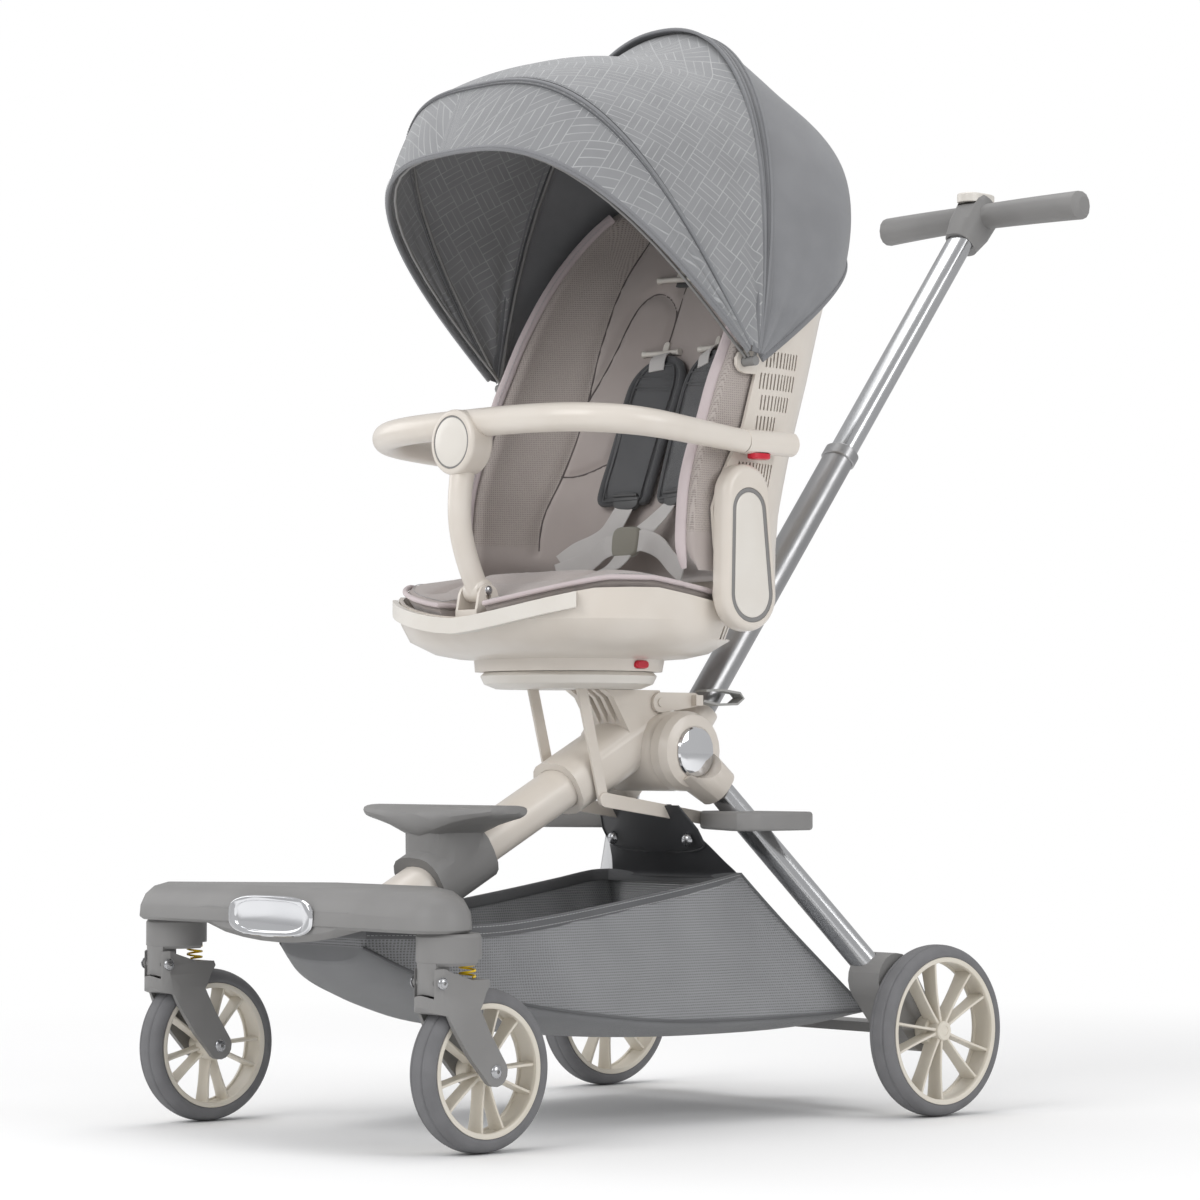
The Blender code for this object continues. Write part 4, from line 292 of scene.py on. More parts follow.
def tube(name, points, radius, sides, closed=False, squash=1.0):
    # A rod along a path, its sections carried along without twist; radius is a number or a list.
    points = [Vector(p) for p in points]
    last = len(points) - 1
    side = None
    rings = []
    for i, p in enumerate(points):
        before = points[i - 1] if (i or closed) else p
        after = points[(i + 1) % (last + 1)] if (i < last or closed) else p
        way = (after - before).normalized()
        side = side or way.orthogonal().normalized()
        side = (side - way * side.dot(way)).normalized()
        r = radius[i] if isinstance(radius, list) else radius
        rings.append(ovalRing(p, side, way.cross(side), r, r * squash, 2.0, sides))
    return loftRings(name, rings, closed)


def revolved(name, profile, centre, axis, steps):
    # profile holds (distance along the axis, radius), and ends on its first point where it is a ring.
    units = Matrix.Identity(3)
    along, a, b = (units["XYZ".index(axis) + i - 3] for i in range(3))
    turns = [2 * pi * i / steps for i in range(steps)]
    rings = [[Vector(centre) + along * d + (a * cos(t) + b * sin(t)) * max(r, 1e-6) for t in turns]
             for d, r in profile]
    closed = profile[0] == profile[-1]
    return loftRings(name, rings[:-1] if closed else rings, closed)


def rolled(along, out, radius, turns, way=1):
    # Points of a rounded edge of a profile, whose arc has its middle at (along, out).
    return [(along + way * radius * cos(radians(a)), out + radius * sin(radians(a))) for a in turns]


def stadium(a, ra, b, rb, count):
    # Outline round two circles, counter-clockwise, as (u, v) pairs.
    a, b = Vector(a), Vector(b)
    turn = math.atan2(b.y - a.y, b.x - a.x)
    lean = math.acos((ra - rb) / (b - a).length)
    points = []
    for centre, radius, start, end in ((b, rb, turn - lean, turn + lean),
                                       (a, ra, turn + lean, turn + 2 * pi - lean)):
        angles = [start + (end - start) * i / (count - 1) for i in range(count)]
        points += [(centre.x + radius * cos(t), centre.y + radius * sin(t)) for t in angles]
    return points


def neighbours(items, k):
    last = len(items) - 1
    return items[max(k - 1, 0)], items[k], items[k + 1], items[min(k + 2, last)]


def spline(a, b, c, d, u):
    # Catmull-Rom between b and c.
    bend, twist = 2 * a - 5 * b + 4 * c - d, 3 * b - a - 3 * c + d
    return 0.5 * (2 * b + (c - a) * u + bend * u * u + twist * u ** 3)


def smoothPath(points, step=0.003):
    # A smooth line through the points, read at even steps.
    points = [Vector(p) for p in points]
    dense = [spline(*neighbours(points, k), i / 24) for k in range(len(points) - 1) for i in range(24)]
    dense.append(points[-1])
    result = [dense[0]]
    gone = 0.0
    for a, b in zip(dense, dense[1:]):
        gone += (b - a).length
        if gone >= step:
            result.append(b)
            gone = 0.0
    if (result[-1] - dense[-1]).length > step * 0.3:
        result.append(dense[-1])
    return result


def mapped(obj, uvAt):
    # UVs in metres from each corner's place.
    layer = obj.data.uv_layers.get("cloth") or obj.data.uv_layers.new(name="cloth")
    for loop in obj.data.loops:
        layer.data[loop.index].uv = uvAt(obj.data.vertices[loop.vertex_index].co)
    return obj


def planarUv(obj, u=(1, 0.3, 0), v=(0, 0.3, 1)):
    u, v = Vector(u), Vector(v)
    return mapped(obj, lambda co: (co.dot(u), co.dot(v)))


def flatBand(name, points, ups, halfWide, halfDeep, power=5.0, sides=20):
    # A flat band along a path, its face turned to ups; the sizes are numbers or lists.
    rings = []
    last = len(points) - 1
    for i, p in enumerate(points):
        way = (points[min(i + 1, last)] - points[max(i - 1, 0)]).normalized()
        side = way.cross(ups[i]).normalized()
        wide, deep = (size[i] if isinstance(size, list) else size for size in (halfWide, halfDeep))
        rings.append(ovalRing(p, side, side.cross(way), wide, deep, power, sides))
    return planarUv(loftRings(name, rings))


def toRow(obj):
    obj.data.transform(Matrix.Translation((0, backShift, 0)))


def piece(obj, body, slotName, material=None, stands=None, angle=38, bevel=0.0, segments=3, shift=True):
    # body is one body's name, to which the piece is attached; where it is two bodies and two points instead,
    # these are not used and the piece is left with no body. A piece that is given no material has its slot's
    # finish, or keeps its own materials where the slot has none.
    if shift:
        toRow(obj)
    material = material or slotFinish.get(slotName)
    if material:
        obj.data.materials.clear()
        obj.data.materials.append(material)
    for face in obj.data.polygons:
        face.use_smooth = True
    obj.data.set_sharp_from_angle(angle=radians(angle))
    if bevel:
        addModifier(obj, "BEVEL", width=bevel, segments=segments, limit_method="ANGLE",
                    angle_limit=radians(angle), harden_normals=True)
    if isinstance(body, str):
        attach(obj, body)
    else:
        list(body)
        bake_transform(obj)
    if stands:
        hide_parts(stands)
    return obj


def cord(name, points, radius, sides, body, slotName, material, closed=False):
    piece(planarUv(tube(name, points, radius, sides, closed)), body, slotName, material)


def camelName(node):
    words = node.split("_")
    return words[0] + "".join(w.capitalize() for w in words[1:])


def refined(node, cutter=None):
    # A merged copy of a CAD solid with rounded edges and smooth faces, which stands in its place.
    mesh = nodes[node].data.copy()
    reworked(mesh, 2e-6, lambda bm: bmesh.ops.dissolve_limit(bm, angle_limit=radians(0.5), verts=bm.verts,
                                                             edges=bm.edges))
    obj = linked(camelName(node) + "Body", mesh)
    if cutter:
        addModifier(obj, "BOOLEAN", object=cutter, operation="DIFFERENCE", solver="EXACT")
        applied(obj)
        bpy.data.objects.remove(cutter)
    piece(obj, nodes[node]["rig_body"], nodeSlot[node], None, node, bevel=0.0007, segments=2, shift=False)


modelled = ("back_shell", "seat_bowl", "side_cover", "bumper_bar", "bumper_post", "bumper_cap", "front_tyre",
            "front_rim", "rear_tyre", "rear_rim", "rear_leg", "handle_outer_tube", "handle_tube")
for node in nodes:
    if nodeSlot[node] in slotFinish and not node.startswith(modelled):
        refined(node)


# Cloth materials: threads, printed lines and wear come from the cloth's own UVs in metres

def clothMaterial(name, colours, threadMm=0.55, weave=0.3, sheen=0.25, roughness=0.86):
    # Plain weave: warp and weft show as two crossed ripples under a soft sheen.
    material, tree, shader = newMaterial(name, Roughness=roughness, Sheen_Weight=sheen, Sheen_Roughness=0.5)
    where = shade(tree, "UVMap", uv_map="cloth")
    tinted(tree, shader, where, 60, colours, 4.0)
    split = addNode(tree, "ShaderNodeSeparateXYZ", {0: where}).outputs
    turns = 2 * pi * 1000 / threadMm
    warp, weft = (maths(tree, "SINE", maths(tree, "MULTIPLY", split[i], turns)) for i in (0, 1))
    bumped(tree, shader, maths(tree, "MULTIPLY", warp, weft), weave, threadMm * 0.35)
    return material, tree, shader, where


def printedCanopyCloth():
    # Polyester hood cloth with thin pale lines, laid as a parquet of short strips.
    material, tree, shader, where = clothMaterial("printedPolyesterCanvas", ("#88898B", "#8F9092"))
    tileSize, lineWidth, lean = 0.027, 0.014, radians(38)
    turned = shade(tree, "Mapping", {"Vector": where, "Rotation": (0, 0, lean), "Scale": (1 / tileSize,) * 3})
    u, v = addNode(tree, "ShaderNodeSeparateXYZ", {0: turned}).outputs[:2]
    tile = maths(tree, "ADD", maths(tree, "FLOOR", u), maths(tree, "FLOOR", v))
    even = maths(tree, "FLOORED_MODULO", tile, 2.0)
    across, upward = maths(tree, "FRACT", u), maths(tree, "FRACT", v)

    def lineAt(first, second, repeats):
        # One near each whole number of repeats, nought elsewhere.
        value = shade(tree, "Mix", {0: even, 2: first, 3: second})
        off = maths(tree, "PINGPONG", maths(tree, "MULTIPLY", value, repeats), 0.5)
        return ranged(tree, off, lineWidth * repeats, lineWidth * repeats * 1.9, 1.0, 0.0)

    drawn = maths(tree, "MAXIMUM", lineAt(across, upward, 3.0), lineAt(upward, across, 1.0))
    faded = ranged(tree, cloud(tree, where, 1000 / 45, 3.0), 0.35, 0.7, 0.35, 0.85, "LINEAR")
    recoloured(tree, shader, maths(tree, "MULTIPLY", drawn, faded), None, "#B4B5B6")
    return material


def poreCells(tree, where, sizeMm, uneven, low, high, lowOut, highOut):
    cells = shade(tree, "TexVoronoi", {"Vector": where, "Scale": 1000 / sizeMm, "Randomness": uneven})
    return ranged(tree, cells, low, high, lowOut, highOut)


def airMesh():
    # Small holes in a firm knit, each painted darker as the shade inside it.
    material, tree, shader, where = clothMaterial("spacerAirMesh", ("#B5ACA7", "#AFA6A1"), 0.9, 0.2)
    pores = poreCells(tree, where, 2.3, 0.15, 0.1, 0.42, 0.0, 1.0)
    bumped(tree, shader, pores, 0.6, 0.7)
    # the pores are painted darker: painted shade in the holes
    recoloured(tree, shader, pores, "#8E8580", None)
    return material


def netMaterial():
    # Warp-knitted net: rows of small openings that let a part of the light through.
    material, tree, shader, where = clothMaterial("warpKnitNet", ("#8B8C8E", "#929395"), 1.4, 0.2, 0.15, 0.8)
    pores = poreCells(tree, where, 2.7, 0.1, 0.16, 0.4, 1.0, 0.0)
    bumped(tree, shader, pores, 0.5, -0.6)
    overlaid(tree, maths(tree, "MULTIPLY", pores, 0.62), shader.outputs[0], shade(tree, "BsdfTransparent"))
    return material


canopyCloth = printedCanopyCloth()
# the plain panel behind the zip, the same cloth without its print and a shade darker
canopyPlain = clothMaterial("plainPolyesterCanvas", ("#7B7C7F", "#828386"))[0]
canopyLining = clothMaterial("coatedCanopyLining", ("#3A3A3D", "#414144"), weave=0.15, roughness=0.7)[0]
darkTape = clothMaterial("darkPolyesterTape", ("#5A5B5E", "#616265"), 0.8, 0.35)[0]
greyTape = clothMaterial("greyPolyesterTape", ("#727376", "#797A7D"), 0.8, 0.35)[0]
paleThread = clothMaterial("paleSewingThread", ("#B9B9BA", "#AFAFB0"), 0.3, 0.2)[0]
# the seat's face is brushed polyester bonded to foam, and the wings are air mesh
seatCloth = clothMaterial("brushedSeatPolyester", ("#B2A9A5", "#ADA39F"), 0.7, 0.35, 0.35)[0]
wingMesh = airMesh()
piping = clothMaterial("greigePiping", ("#9C9390", "#958C89"), 0.5, 0.3)[0]
# the dark cord that lies in the cushion's seam grooves, coloured as painted shade in the grooves
seamPaintedShade = clothMaterial("seamRecessCloth", ("#57504E", "#5E5755"), 0.5, 0.3)[0]
bindingCloth = clothMaterial("palePinkBinding", ("#CBBFC0", "#C5B9BA"), 0.6, 0.3)[0]
webbing = clothMaterial("polyesterWebbing", ("#DBD8D6", "#D3D0CE"), 1.1, 0.6)[0]
padCloth = clothMaterial("darkPadPolyester", ("#58595B", "#525355"), 0.7, 0.4)[0]
padBorder = clothMaterial("darkPadBinding", ("#48494B", "#4D4E50"), 0.6, 0.35)[0]
bucklePad = clothMaterial("oliveFoamCloth", ("#8A877D", "#918E84"), 0.7, 0.3)[0]
basketNet = netMaterial()
bellyCloth = clothMaterial("greyOxfordPolyester", ("#77787A", "#7D7E80"), 0.8, 0.35)[0]
hemTape = clothMaterial("greyHemTape", ("#5C5D5F", "#626365"), 0.9, 0.4)[0]
vinylCloth = clothMaterial("blackCoatedPolyester", ("#38393C", "#3E3F42"), 0.5, 0.12, 0.1, 0.5)[0]
print("cloth materials made")


# Canopy: sheets from hoop to hoop in three stretches, as each stretch of the real hood folds on its own hoop;
# here the sheets stay unattached and do not fold.
# A hoop is its height, its tilt in degrees and the power of its curve.

canopySettings = {
    "pivot": (0.095, 0.765), "half": 0.2, "thick": 0.0014, "sheetSteps": 170, "lineSteps": 150,
    "front": (0.314, 48.0, 2.9), "top": (0.343, 35.3, 3.0), "sag": (0.329, 2.5, 2.6),
    "mid": (0.371, -10.0, 2.26), "valley": (0.352, -24.0, 2.36), "rear": (0.345, -43.0, 2.5),
    "hem": (0.285, -57.0, 2.4),
    "sheets": (("canopyVisor", "canopy_cloth_front", ("front", "top"), 22, ("canopy_top", "canopy_front")),
               ("canopyRoof", "canopy_cloth_mid", ("top", "sag", "mid"), 54, ("canopy_mid", "canopy_top")),
               ("canopyBack", "canopy_cloth_rear", ("mid", "valley", "rear", "hem"), 48,
                ("backrest", "canopy_mid"))),
}


def hoopAt(hoop, angle, out=0.0):
    height, tilt, power = hoop
    y, z = canopySettings["pivot"]
    up = (height + out) * sin(angle) ** (2 / power)
    return Vector(((canopySettings["half"] + out) * powered(cos(angle), 2 / power),
                   y - up * sin(radians(tilt)), z + up * cos(radians(tilt))))


def hoopAngles(count, start=0.012):
    # Closer together near the pivots, where the hoops rise fast.
    shares = [i / count for i in range(count + 1)]
    return [start + (pi - 2 * start) * (u - 0.72 * sin(2 * pi * u) / (2 * pi)) for u in shares]


def hoopLine(hoop, out=0.0, turn=0.0):
    height, tilt, power = canopySettings[hoop]
    return [hoopAt((height, tilt + turn, power), a, out) for a in hoopAngles(canopySettings["lineSteps"])]


def betweenHoops(hoops, t):
    # A smooth run of hoops for t from nought to one.
    spans = len(hoops) - 1
    k = min(int(t * spans), spans - 1)
    u = t * spans - k
    if spans == 1:
        return tuple(a + (b - a) * u for a, b in zip(*hoops))
    return tuple(spline(*values, u) for values in zip(*neighbours(hoops, k)))


def canopyUv(co):
    # The sides hang as flat panels and the top runs over them, so the cut lies down without squeezing.
    ridge = canopySettings["pivot"][1] + 0.3
    return ((abs(co.x) + max(0.0, ridge - co.z)) * (1 if co.x > 0 else -1), co.y)


def creased(t, angle, co):
    # Slack near the pivots gathers in long folds that run up along the hoops, and dies out towards the top.
    side = min(angle, pi - angle)
    near = exp(-((side - 0.16) / 0.3) ** 2) if side > 0.16 else (side / 0.16) ** 0.8
    wave = sin(t * 17 + 1.4 * sin(side * 5) + (0.8 if co.x > 0 else 2.1))
    slow = noise.noise(Vector((co.x * 7, co.y * 9, co.z * 9)))
    return (0.0022 * near * wave + 0.003 * slow) * sin(pi * t)


def canopySheet(name, hoops, rowCount):
    c = canopySettings
    axis = Vector((0, *c["pivot"]))
    rows = []
    for r in range(rowCount + 1):
        t = r / rowCount
        hoop = betweenHoops(hoops, t)
        row = []
        for a in hoopAngles(c["sheetSteps"]):
            p = hoopAt(hoop, a)
            away = Vector((p.x * 0.35, p.y - axis.y, p.z - axis.z)).normalized()
            row.append(p + away * creased(t, a, p))
        rows.append(row)
    n = len(rows[0])
    obj = meshObject(name, [p for row in rows for p in row],
                     [(r * n + i, r * n + i + 1, (r + 1) * n + i + 1, (r + 1) * n + i)
                      for r in range(rowCount) for i in range(n - 1)])
    mapped(obj, canopyUv)
    addModifier(obj, "SOLIDIFY", thickness=c["thick"], offset=-1.0, material_offset=1, material_offset_rim=0)
    obj.data.materials.append(None)
    obj.data.materials.append(None)
    return applied(obj)


def foldedTape(name, points, wide, thick):
    # Flat folded tape laid on a path, with rounded edges, its face turned away from the pivots.
    ups = [p - Vector((0, *canopySettings["pivot"])) for p in points]
    return planarUv(flatBand(name, points, ups, wide / 2, thick / 2, 3.2, 14), (1, 0, 0.3), (0, 1, 1))


def hoopSpot(key):
    # Three quarters of the way up a hoop, in the row frame.
    height, tilt = canopySettings[key][:2]
    y, z = canopySettings["pivot"]
    up = height * 0.75
    return (0.0, y + backShift - up * sin(radians(tilt)), z + up * cos(radians(tilt)))


def dressCanopy():
    c = canopySettings
    sheets = []
    for name, node, hoops, rowCount, bodies in c["sheets"]:
        obj = canopySheet(name, [c[hoop] for hoop in hoops], rowCount)
        obj.data.materials.clear()
        obj.data.materials.append(canopyPlain if name == "canopyBack" else canopyCloth)
        obj.data.materials.append(canopyLining)
        piece(obj, bodies + (hoopSpot(hoops[-1]), hoopSpot(hoops[0])), "canopy_cloth", None, node, angle=60)
        sheets.append((obj, hoops))
    for name, hoop, lift, turn, wide, thick, material, body in (
            ("canopyTopPiping", "top", 0.0014, 0.0, 0.0036, 0.0036, canopyPlain, "canopy_top"),
            ("canopyTopSeamFront", "top", 0.0006, 0.85, 0.0016, 0.0018, darkTape, "canopy_top"),
            ("canopyTopSeamRear", "top", 0.0006, -0.85, 0.0016, 0.0018, darkTape, "canopy_top"),
            ("canopyZipTape", "mid", 0.0014, 0.0, 0.02, 0.002, greyTape, "canopy_mid"),
            ("canopyZipPipingFront", "mid", 0.0014, 1.9, 0.0036, 0.0036, canopyPlain, "canopy_mid"),
            ("canopyZipTeeth", "mid", 0.0014, 0.0, 0.0046, 0.0032, darkTape, "canopy_mid"),
            ("canopyZipPipingRear", "mid", 0.0014, -1.9, 0.0036, 0.0036, canopyPlain, "canopy_mid"),
            ("canopyVisorHem", "front", -0.0002, 0.25, 0.0075, 0.0044, canopyPlain, "canopy_front"),
            ("canopyRearHem", "hem", -0.0004, 0.0, 0.012, 0.0036, greyTape, "backrest")):
        piece(foldedTape(name, hoopLine(hoop, lift, turn), wide, thick), body, "canopy_cloth", material)
    return sheets


canopySheets = dressCanopy()
print("canopy made")


# Back cushion: bucket-shaped pad with sewn lines, each a groove with a thin dark cord at its bottom, which is
# painted shade in the groove

# height, then the shell's face, half width and depth
shellStations = ((0.532, 0.061, 0.1825, 0.159), (0.58, 0.0535, 0.1825, 0.1705),
                 (0.616, 0.0505, 0.1825, 0.1805), (0.646, 0.062, 0.1825, 0.175),
                 (0.672, 0.0775, 0.1825, 0.163), (0.7, 0.0935, 0.1825, 0.1525),
                 (0.755, 0.111, 0.1825, 0.154), (0.82, 0.13, 0.1815, 0.156), (0.88, 0.162, 0.177, 0.146),
                 (0.93, 0.198, 0.166, 0.118), (0.965, 0.229, 0.144, 0.089), (0.985, 0.252, 0.108, 0.064))
# height, then the front of the wings
wingStations = ((0.532, 0.041), (0.575, 0.0313), (0.61, 0.032), (0.643, 0.0362), (0.675, 0.0461),
                (0.7, 0.0576), (0.745, 0.0741), (0.775, 0.0889), (0.82, 0.112), (0.88, 0.15), (0.93, 0.19),
                (0.965, 0.224), (0.985, 0.25))
cushionSettings = {
    "wall": 0.004, "thick": 0.022, "low": 0.553, "high": 0.971, "offset": 0.0058, "faceLow": 0.13,
    "faceHigh": 0.272, "power": 1.9, "grooveWide": 0.004, "grooveDeep": 0.005, "puff": 0.0035,
    "puffWide": 0.02, "backPower": 2.5, "facePower": 2.2, "nose": 0.0085, "meshFrom": 0.59,
    "mainSeam": ((0.128, 0.586), (0.1285, 0.606), (0.1265, 0.628), (0.119, 0.665), (0.115, 0.705),
                 (0.114, 0.748), (0.117, 0.795), (0.118, 0.83), (0.118, 0.8625), (0.114, 0.898),
                 (0.104, 0.9335)),
    "archSeam": ((0.114, 0.748), (0.107, 0.777), (0.101, 0.809), (0.098, 0.832), (0.093, 0.852),
                 (0.085, 0.863), (0.074, 0.867), (0.059, 0.86), (0.047, 0.846), (0.044, 0.829),
                 (0.0445, 0.805)),
    "lumbarSeam": ((0.1196, 0.666), (0.108, 0.666), (0.096, 0.67), (0.083, 0.677), (0.076, 0.682),
                   (0.073, 0.706)),
    "slotSeam": ((0.0445, 0.805), (0.044, 0.829), (0.044, 0.867), (0.043, 0.89)),
}
seamPaths = [smoothPath([(side * x, z) for x, z in cushionSettings[key]])
             for key in ("mainSeam", "archSeam", "lumbarSeam", "slotSeam") for side in (1, -1)]
seamPoints = [p for path in seamPaths for p in path]


def stationAt(stations, z):
    # Smooth reading of a table by its first column.
    last = len(stations) - 1
    if z <= stations[0][0]:
        return stations[0][1:]
    if z >= stations[last][0]:
        return stations[last][1:]
    k = next(i for i in range(last) if z <= stations[i + 1][0])
    a, b, c, d = neighbours(stations, k)
    span = c[0] - b[0]
    u = (z - b[0]) / span
    return tuple((2 * u ** 3 - 3 * u * u + 1) * q + (u ** 3 - 2 * u * u + u) * span * (r - p) / (c[0] - a[0])
                 + (3 * u * u - 2 * u ** 3) * r + (u ** 3 - u * u) * span * (s - q) / (d[0] - b[0])
                 for p, q, r, s in zip(a[1:], b[1:], c[1:], d[1:]))


def nearestSeam(x, z):
    best = 1.0
    for p in seamPoints:
        dx, dz = p[0] - x, p[1] - z
        if abs(dx) < best and abs(dz) < best:
            best = min(best, math.hypot(dx, dz))
    return best


def smoothFace(x, z):
    c = cushionSettings
    front = stationAt(wingStations, z)[0]
    half = stationAt(shellStations, z)[1] - c["wall"] - 0.0006 - c["thick"]
    reach = max(0.0, 1 - (abs(x) / half) ** c["power"]) ** (1 / c["power"])
    middle = c["faceLow"] + (c["faceHigh"] - c["faceLow"]) * max(0.0, (z - 0.55) / 0.42) ** 1.35
    return front + (middle - front) * reach


def sewnFace(x, z):
    # The face with its stuffing, and with a groove along each seam.
    c = cushionSettings
    d = nearestSeam(x, z)
    groove = c["grooveDeep"] * exp(-(d / c["grooveWide"]) ** 2)
    return smoothFace(x, z) - c["puff"] * (1 - exp(-(d / c["puffWide"]) ** 1.4)) + groove


def noseBetween(first, last, edge):
    # A round nose joins the face to the back along each wing.
    middle = (first + last) / 2
    return [middle + (first - middle) * cos(a) + Vector((0, -cushionSettings["nose"] * edge * sin(a), 0))
            for a in (pi * k / 8 for k in range(1, 8))]


def backCushion():
    c = cushionSettings
    across, upward = 150, 120
    rows = []
    for r in range(upward + 1):
        t = r / upward
        z = c["low"] + (c["high"] - c["low"]) * t
        y0, halfWide, depth = stationAt(shellStations, z)
        front = stationAt(wingStations, z)[0]
        edge = sin(min(1.0, min(t, 1 - t) * 14 + 0.03) * pi / 2) ** 0.5
        half = halfWide - c["offset"]
        deep = y0 + depth - c["offset"] - front
        back = [Vector((half * powered(cos(a), 2 / c["backPower"]),
                        front + deep * abs(sin(a)) ** (2 / c["backPower"]), z))
                for a in (pi * k / 40 for k in range(41))]
        inner = []
        for k in range(across + 1):
            x = (half - c["thick"]) * powered(cos(pi * (1 - k / across)), 2 / c["facePower"])
            y = sewnFace(x, z)
            behind = Vector((x * half / (half - c["thick"]), min(y + c["thick"], front + deep), z))
            inner.append(behind.lerp(Vector((x, y, z)), edge))
        rows.append(back + noseBetween(back[-1], inner[0], edge)
                    + inner + noseBetween(inner[-1], back[0], edge))
    return mapped(loftRings("backCushion", rows),
                  lambda co: (math.copysign(abs(co.x) + max(0.0, 0.2 - co.y) * 0.8, co.x), co.z))


def onCushion(x, z, out=0.0):
    # A point on the pad's face, or so far out from it.
    step = 0.002
    across = Vector((2 * step, smoothFace(x + step, z) - smoothFace(x - step, z), 0))
    upward = Vector((0, smoothFace(x, z + step) - smoothFace(x, z - step), 2 * step))
    way = across.cross(upward).normalized()
    return Vector((x, sewnFace(x, z), z)) + (-way if way.y > 0 else way) * out


def wingLine(side, low, high, count, inset, ahead):
    # Up the nose of one wing.
    points = []
    for i in range(count):
        z = low + (high - low) * i / (count - 1)
        x = stationAt(shellStations, z)[1] - cushionSettings["offset"] - inset
        points.append(Vector((side * x, stationAt(wingStations, z)[0] - ahead, z)))
    return points


def dressBack():
    cushion = backCushion()
    cushion.data.materials.append(seatCloth)
    cushion.data.materials.append(wingMesh)
    piece(cushion, "backrest", "seat_cloth", None, "back_cushion", angle=70)
    for polygon in cushion.data.polygons:
        x, z = polygon.center.xz
        seam = next((p[0] for p in seamPaths[0] if p[1] >= z), seamPaths[0][-1][0])
        polygon.material_index = int(abs(x) > seam and z > cushionSettings["meshFrom"])
    # a dark cord down each seam's groove, painted shade in the groove
    seams = [tube("seam", [onCushion(p[0], p[1], 0.0002) for p in path], 0.0011, 8) for path in seamPaths]
    piece(planarUv(merged("cushionPiping", *seams)), "backrest", "seat_cloth", seamPaintedShade)
    count, halfWide = 61, 0.0056
    wide = [halfWide * min(1.0, (i + 1) / 4) ** 0.5 for i in range(count)]
    for side, mark in ((1, "Left"), (-1, "Right")):
        points = wingLine(side, 0.5545, 0.955, count, 0.0115, 0.0086)
        band = tube("wingBinding" + mark, points, wide, 14, squash=0.42)
        piece(planarUv(band), "backrest", "seat_cloth", bindingCloth)


dressBack()
print("back cushion made")


# Harness: padded shoulder covers, light webbing, sliders and the bars of the slots

harnessSettings = {
    "padHalf": 0.0345, "padDeep": 0.0062, "padLow": 0.634, "padHigh": 0.787, "webHalf": 0.0115,
    "webDeep": 0.0008, "slotHeights": (0.797, 0.88), "slotHalf": 0.0245, "sliderHeight": 0.6335,
    "sliderHalf": 0.0165,
}
padMiddles = {"Right": -0.031, "Left": 0.05}


def web(obj, material, **more):
    return piece(obj, "backrest", "strap_webbing", material, **more)


def faceUp(x, z):
    return (onCushion(x, z, 0.01) - onCushion(x, z)).normalized()


def plateOn(name, x, z, halfWide, halfTall, low, high, power=4.0, edge=0.0012):
    # A rounded plate parallel to the pad's face.
    up = faceUp(x, z)
    across = (Vector((1, 0, 0)) - up * up.x).normalized()
    layers = ((low, edge), (low + edge, 0), (high - edge, 0), (high - edge * 0.3, edge * 0.3), (high, edge))
    return layered(name, onCushion(x, z), up, across, up.cross(across), halfWide, halfTall, layers, power, 48)


def acrossPad(middle, z, reach, count, out):
    # A line across one shoulder pad, a little lower at its outer end.
    high = harnessSettings["padDeep"] * 2 + out
    return [onCushion(middle + 0.003 + reach * k / count, z - 0.002 * k / count, high)
            for k in range(-count, count + 1)]


def shoulderPad(mark, middle):
    h = harnessSettings
    half, low, high, deep = (h[key] for key in ("padHalf", "padLow", "padHigh", "padDeep"))

    def halfAt(t):
        top = math.sqrt(max(0.0, 1 - max(0.0, (t - 0.77) / 0.23) ** 2.2))
        bottom = max(0.0, 1 - max(0.0, (0.06 - t) / 0.06) ** 2.5) ** 0.4
        return max(0.0006, half * (0.9 + 0.1 * min(1.0, t / 0.7)) * top * (0.82 + 0.18 * bottom))

    def around(share, drop, out, cut):
        # Up one side of the pad and down the other, at a share of its width.
        run = list(zip(line, wide))[cut]
        return ([onCushion(x - w * share, z - drop, out) for (x, z), w in run]
                + [onCushion(x + w * share, z - drop, out) for (x, z), w in reversed(run)])

    steps = [0.5 - 0.5 * cos(pi * i / 70) for i in range(71)]
    lean = 0.012 if middle < 0 else 0.006
    line = [(middle + lean * (t - 0.5), low + (high - low) * t) for t in steps]
    wide = [halfAt(t) for t in steps]
    thick = [deep * (1 - (2 * t - 1) ** 16 * 0.9) * (1 + 0.1 * sin(t * 17)) for t in steps]
    pad = flatBand("shoulderPad" + mark, [onCushion(x, z, deep + 0.0016) for x, z in line],
                   [faceUp(x, z) for x, z in line], wide, thick, 3.4, 56)
    web(pad, padCloth, angle=70)
    border = ("backrest", "strap_webbing", padBorder)
    edge = around(1.0, 0.0, deep + 0.0014, slice(None))[1:-1]
    cord("padBinding" + mark, edge, 0.0044, 14, *border, closed=True)
    inner = around(0.8, 0.003, deep * 2 + 0.0011, slice(6, -9))
    cord("padSeam" + mark, inner, 0.0009, 8, *border, closed=True)
    for i, z in enumerate((0.7535, 0.7655)):
        cord(f"padBand{mark}{i}", acrossPad(middle, z, half * 0.8, 10, 0.0013), 0.001, 8, *border)
    return pad


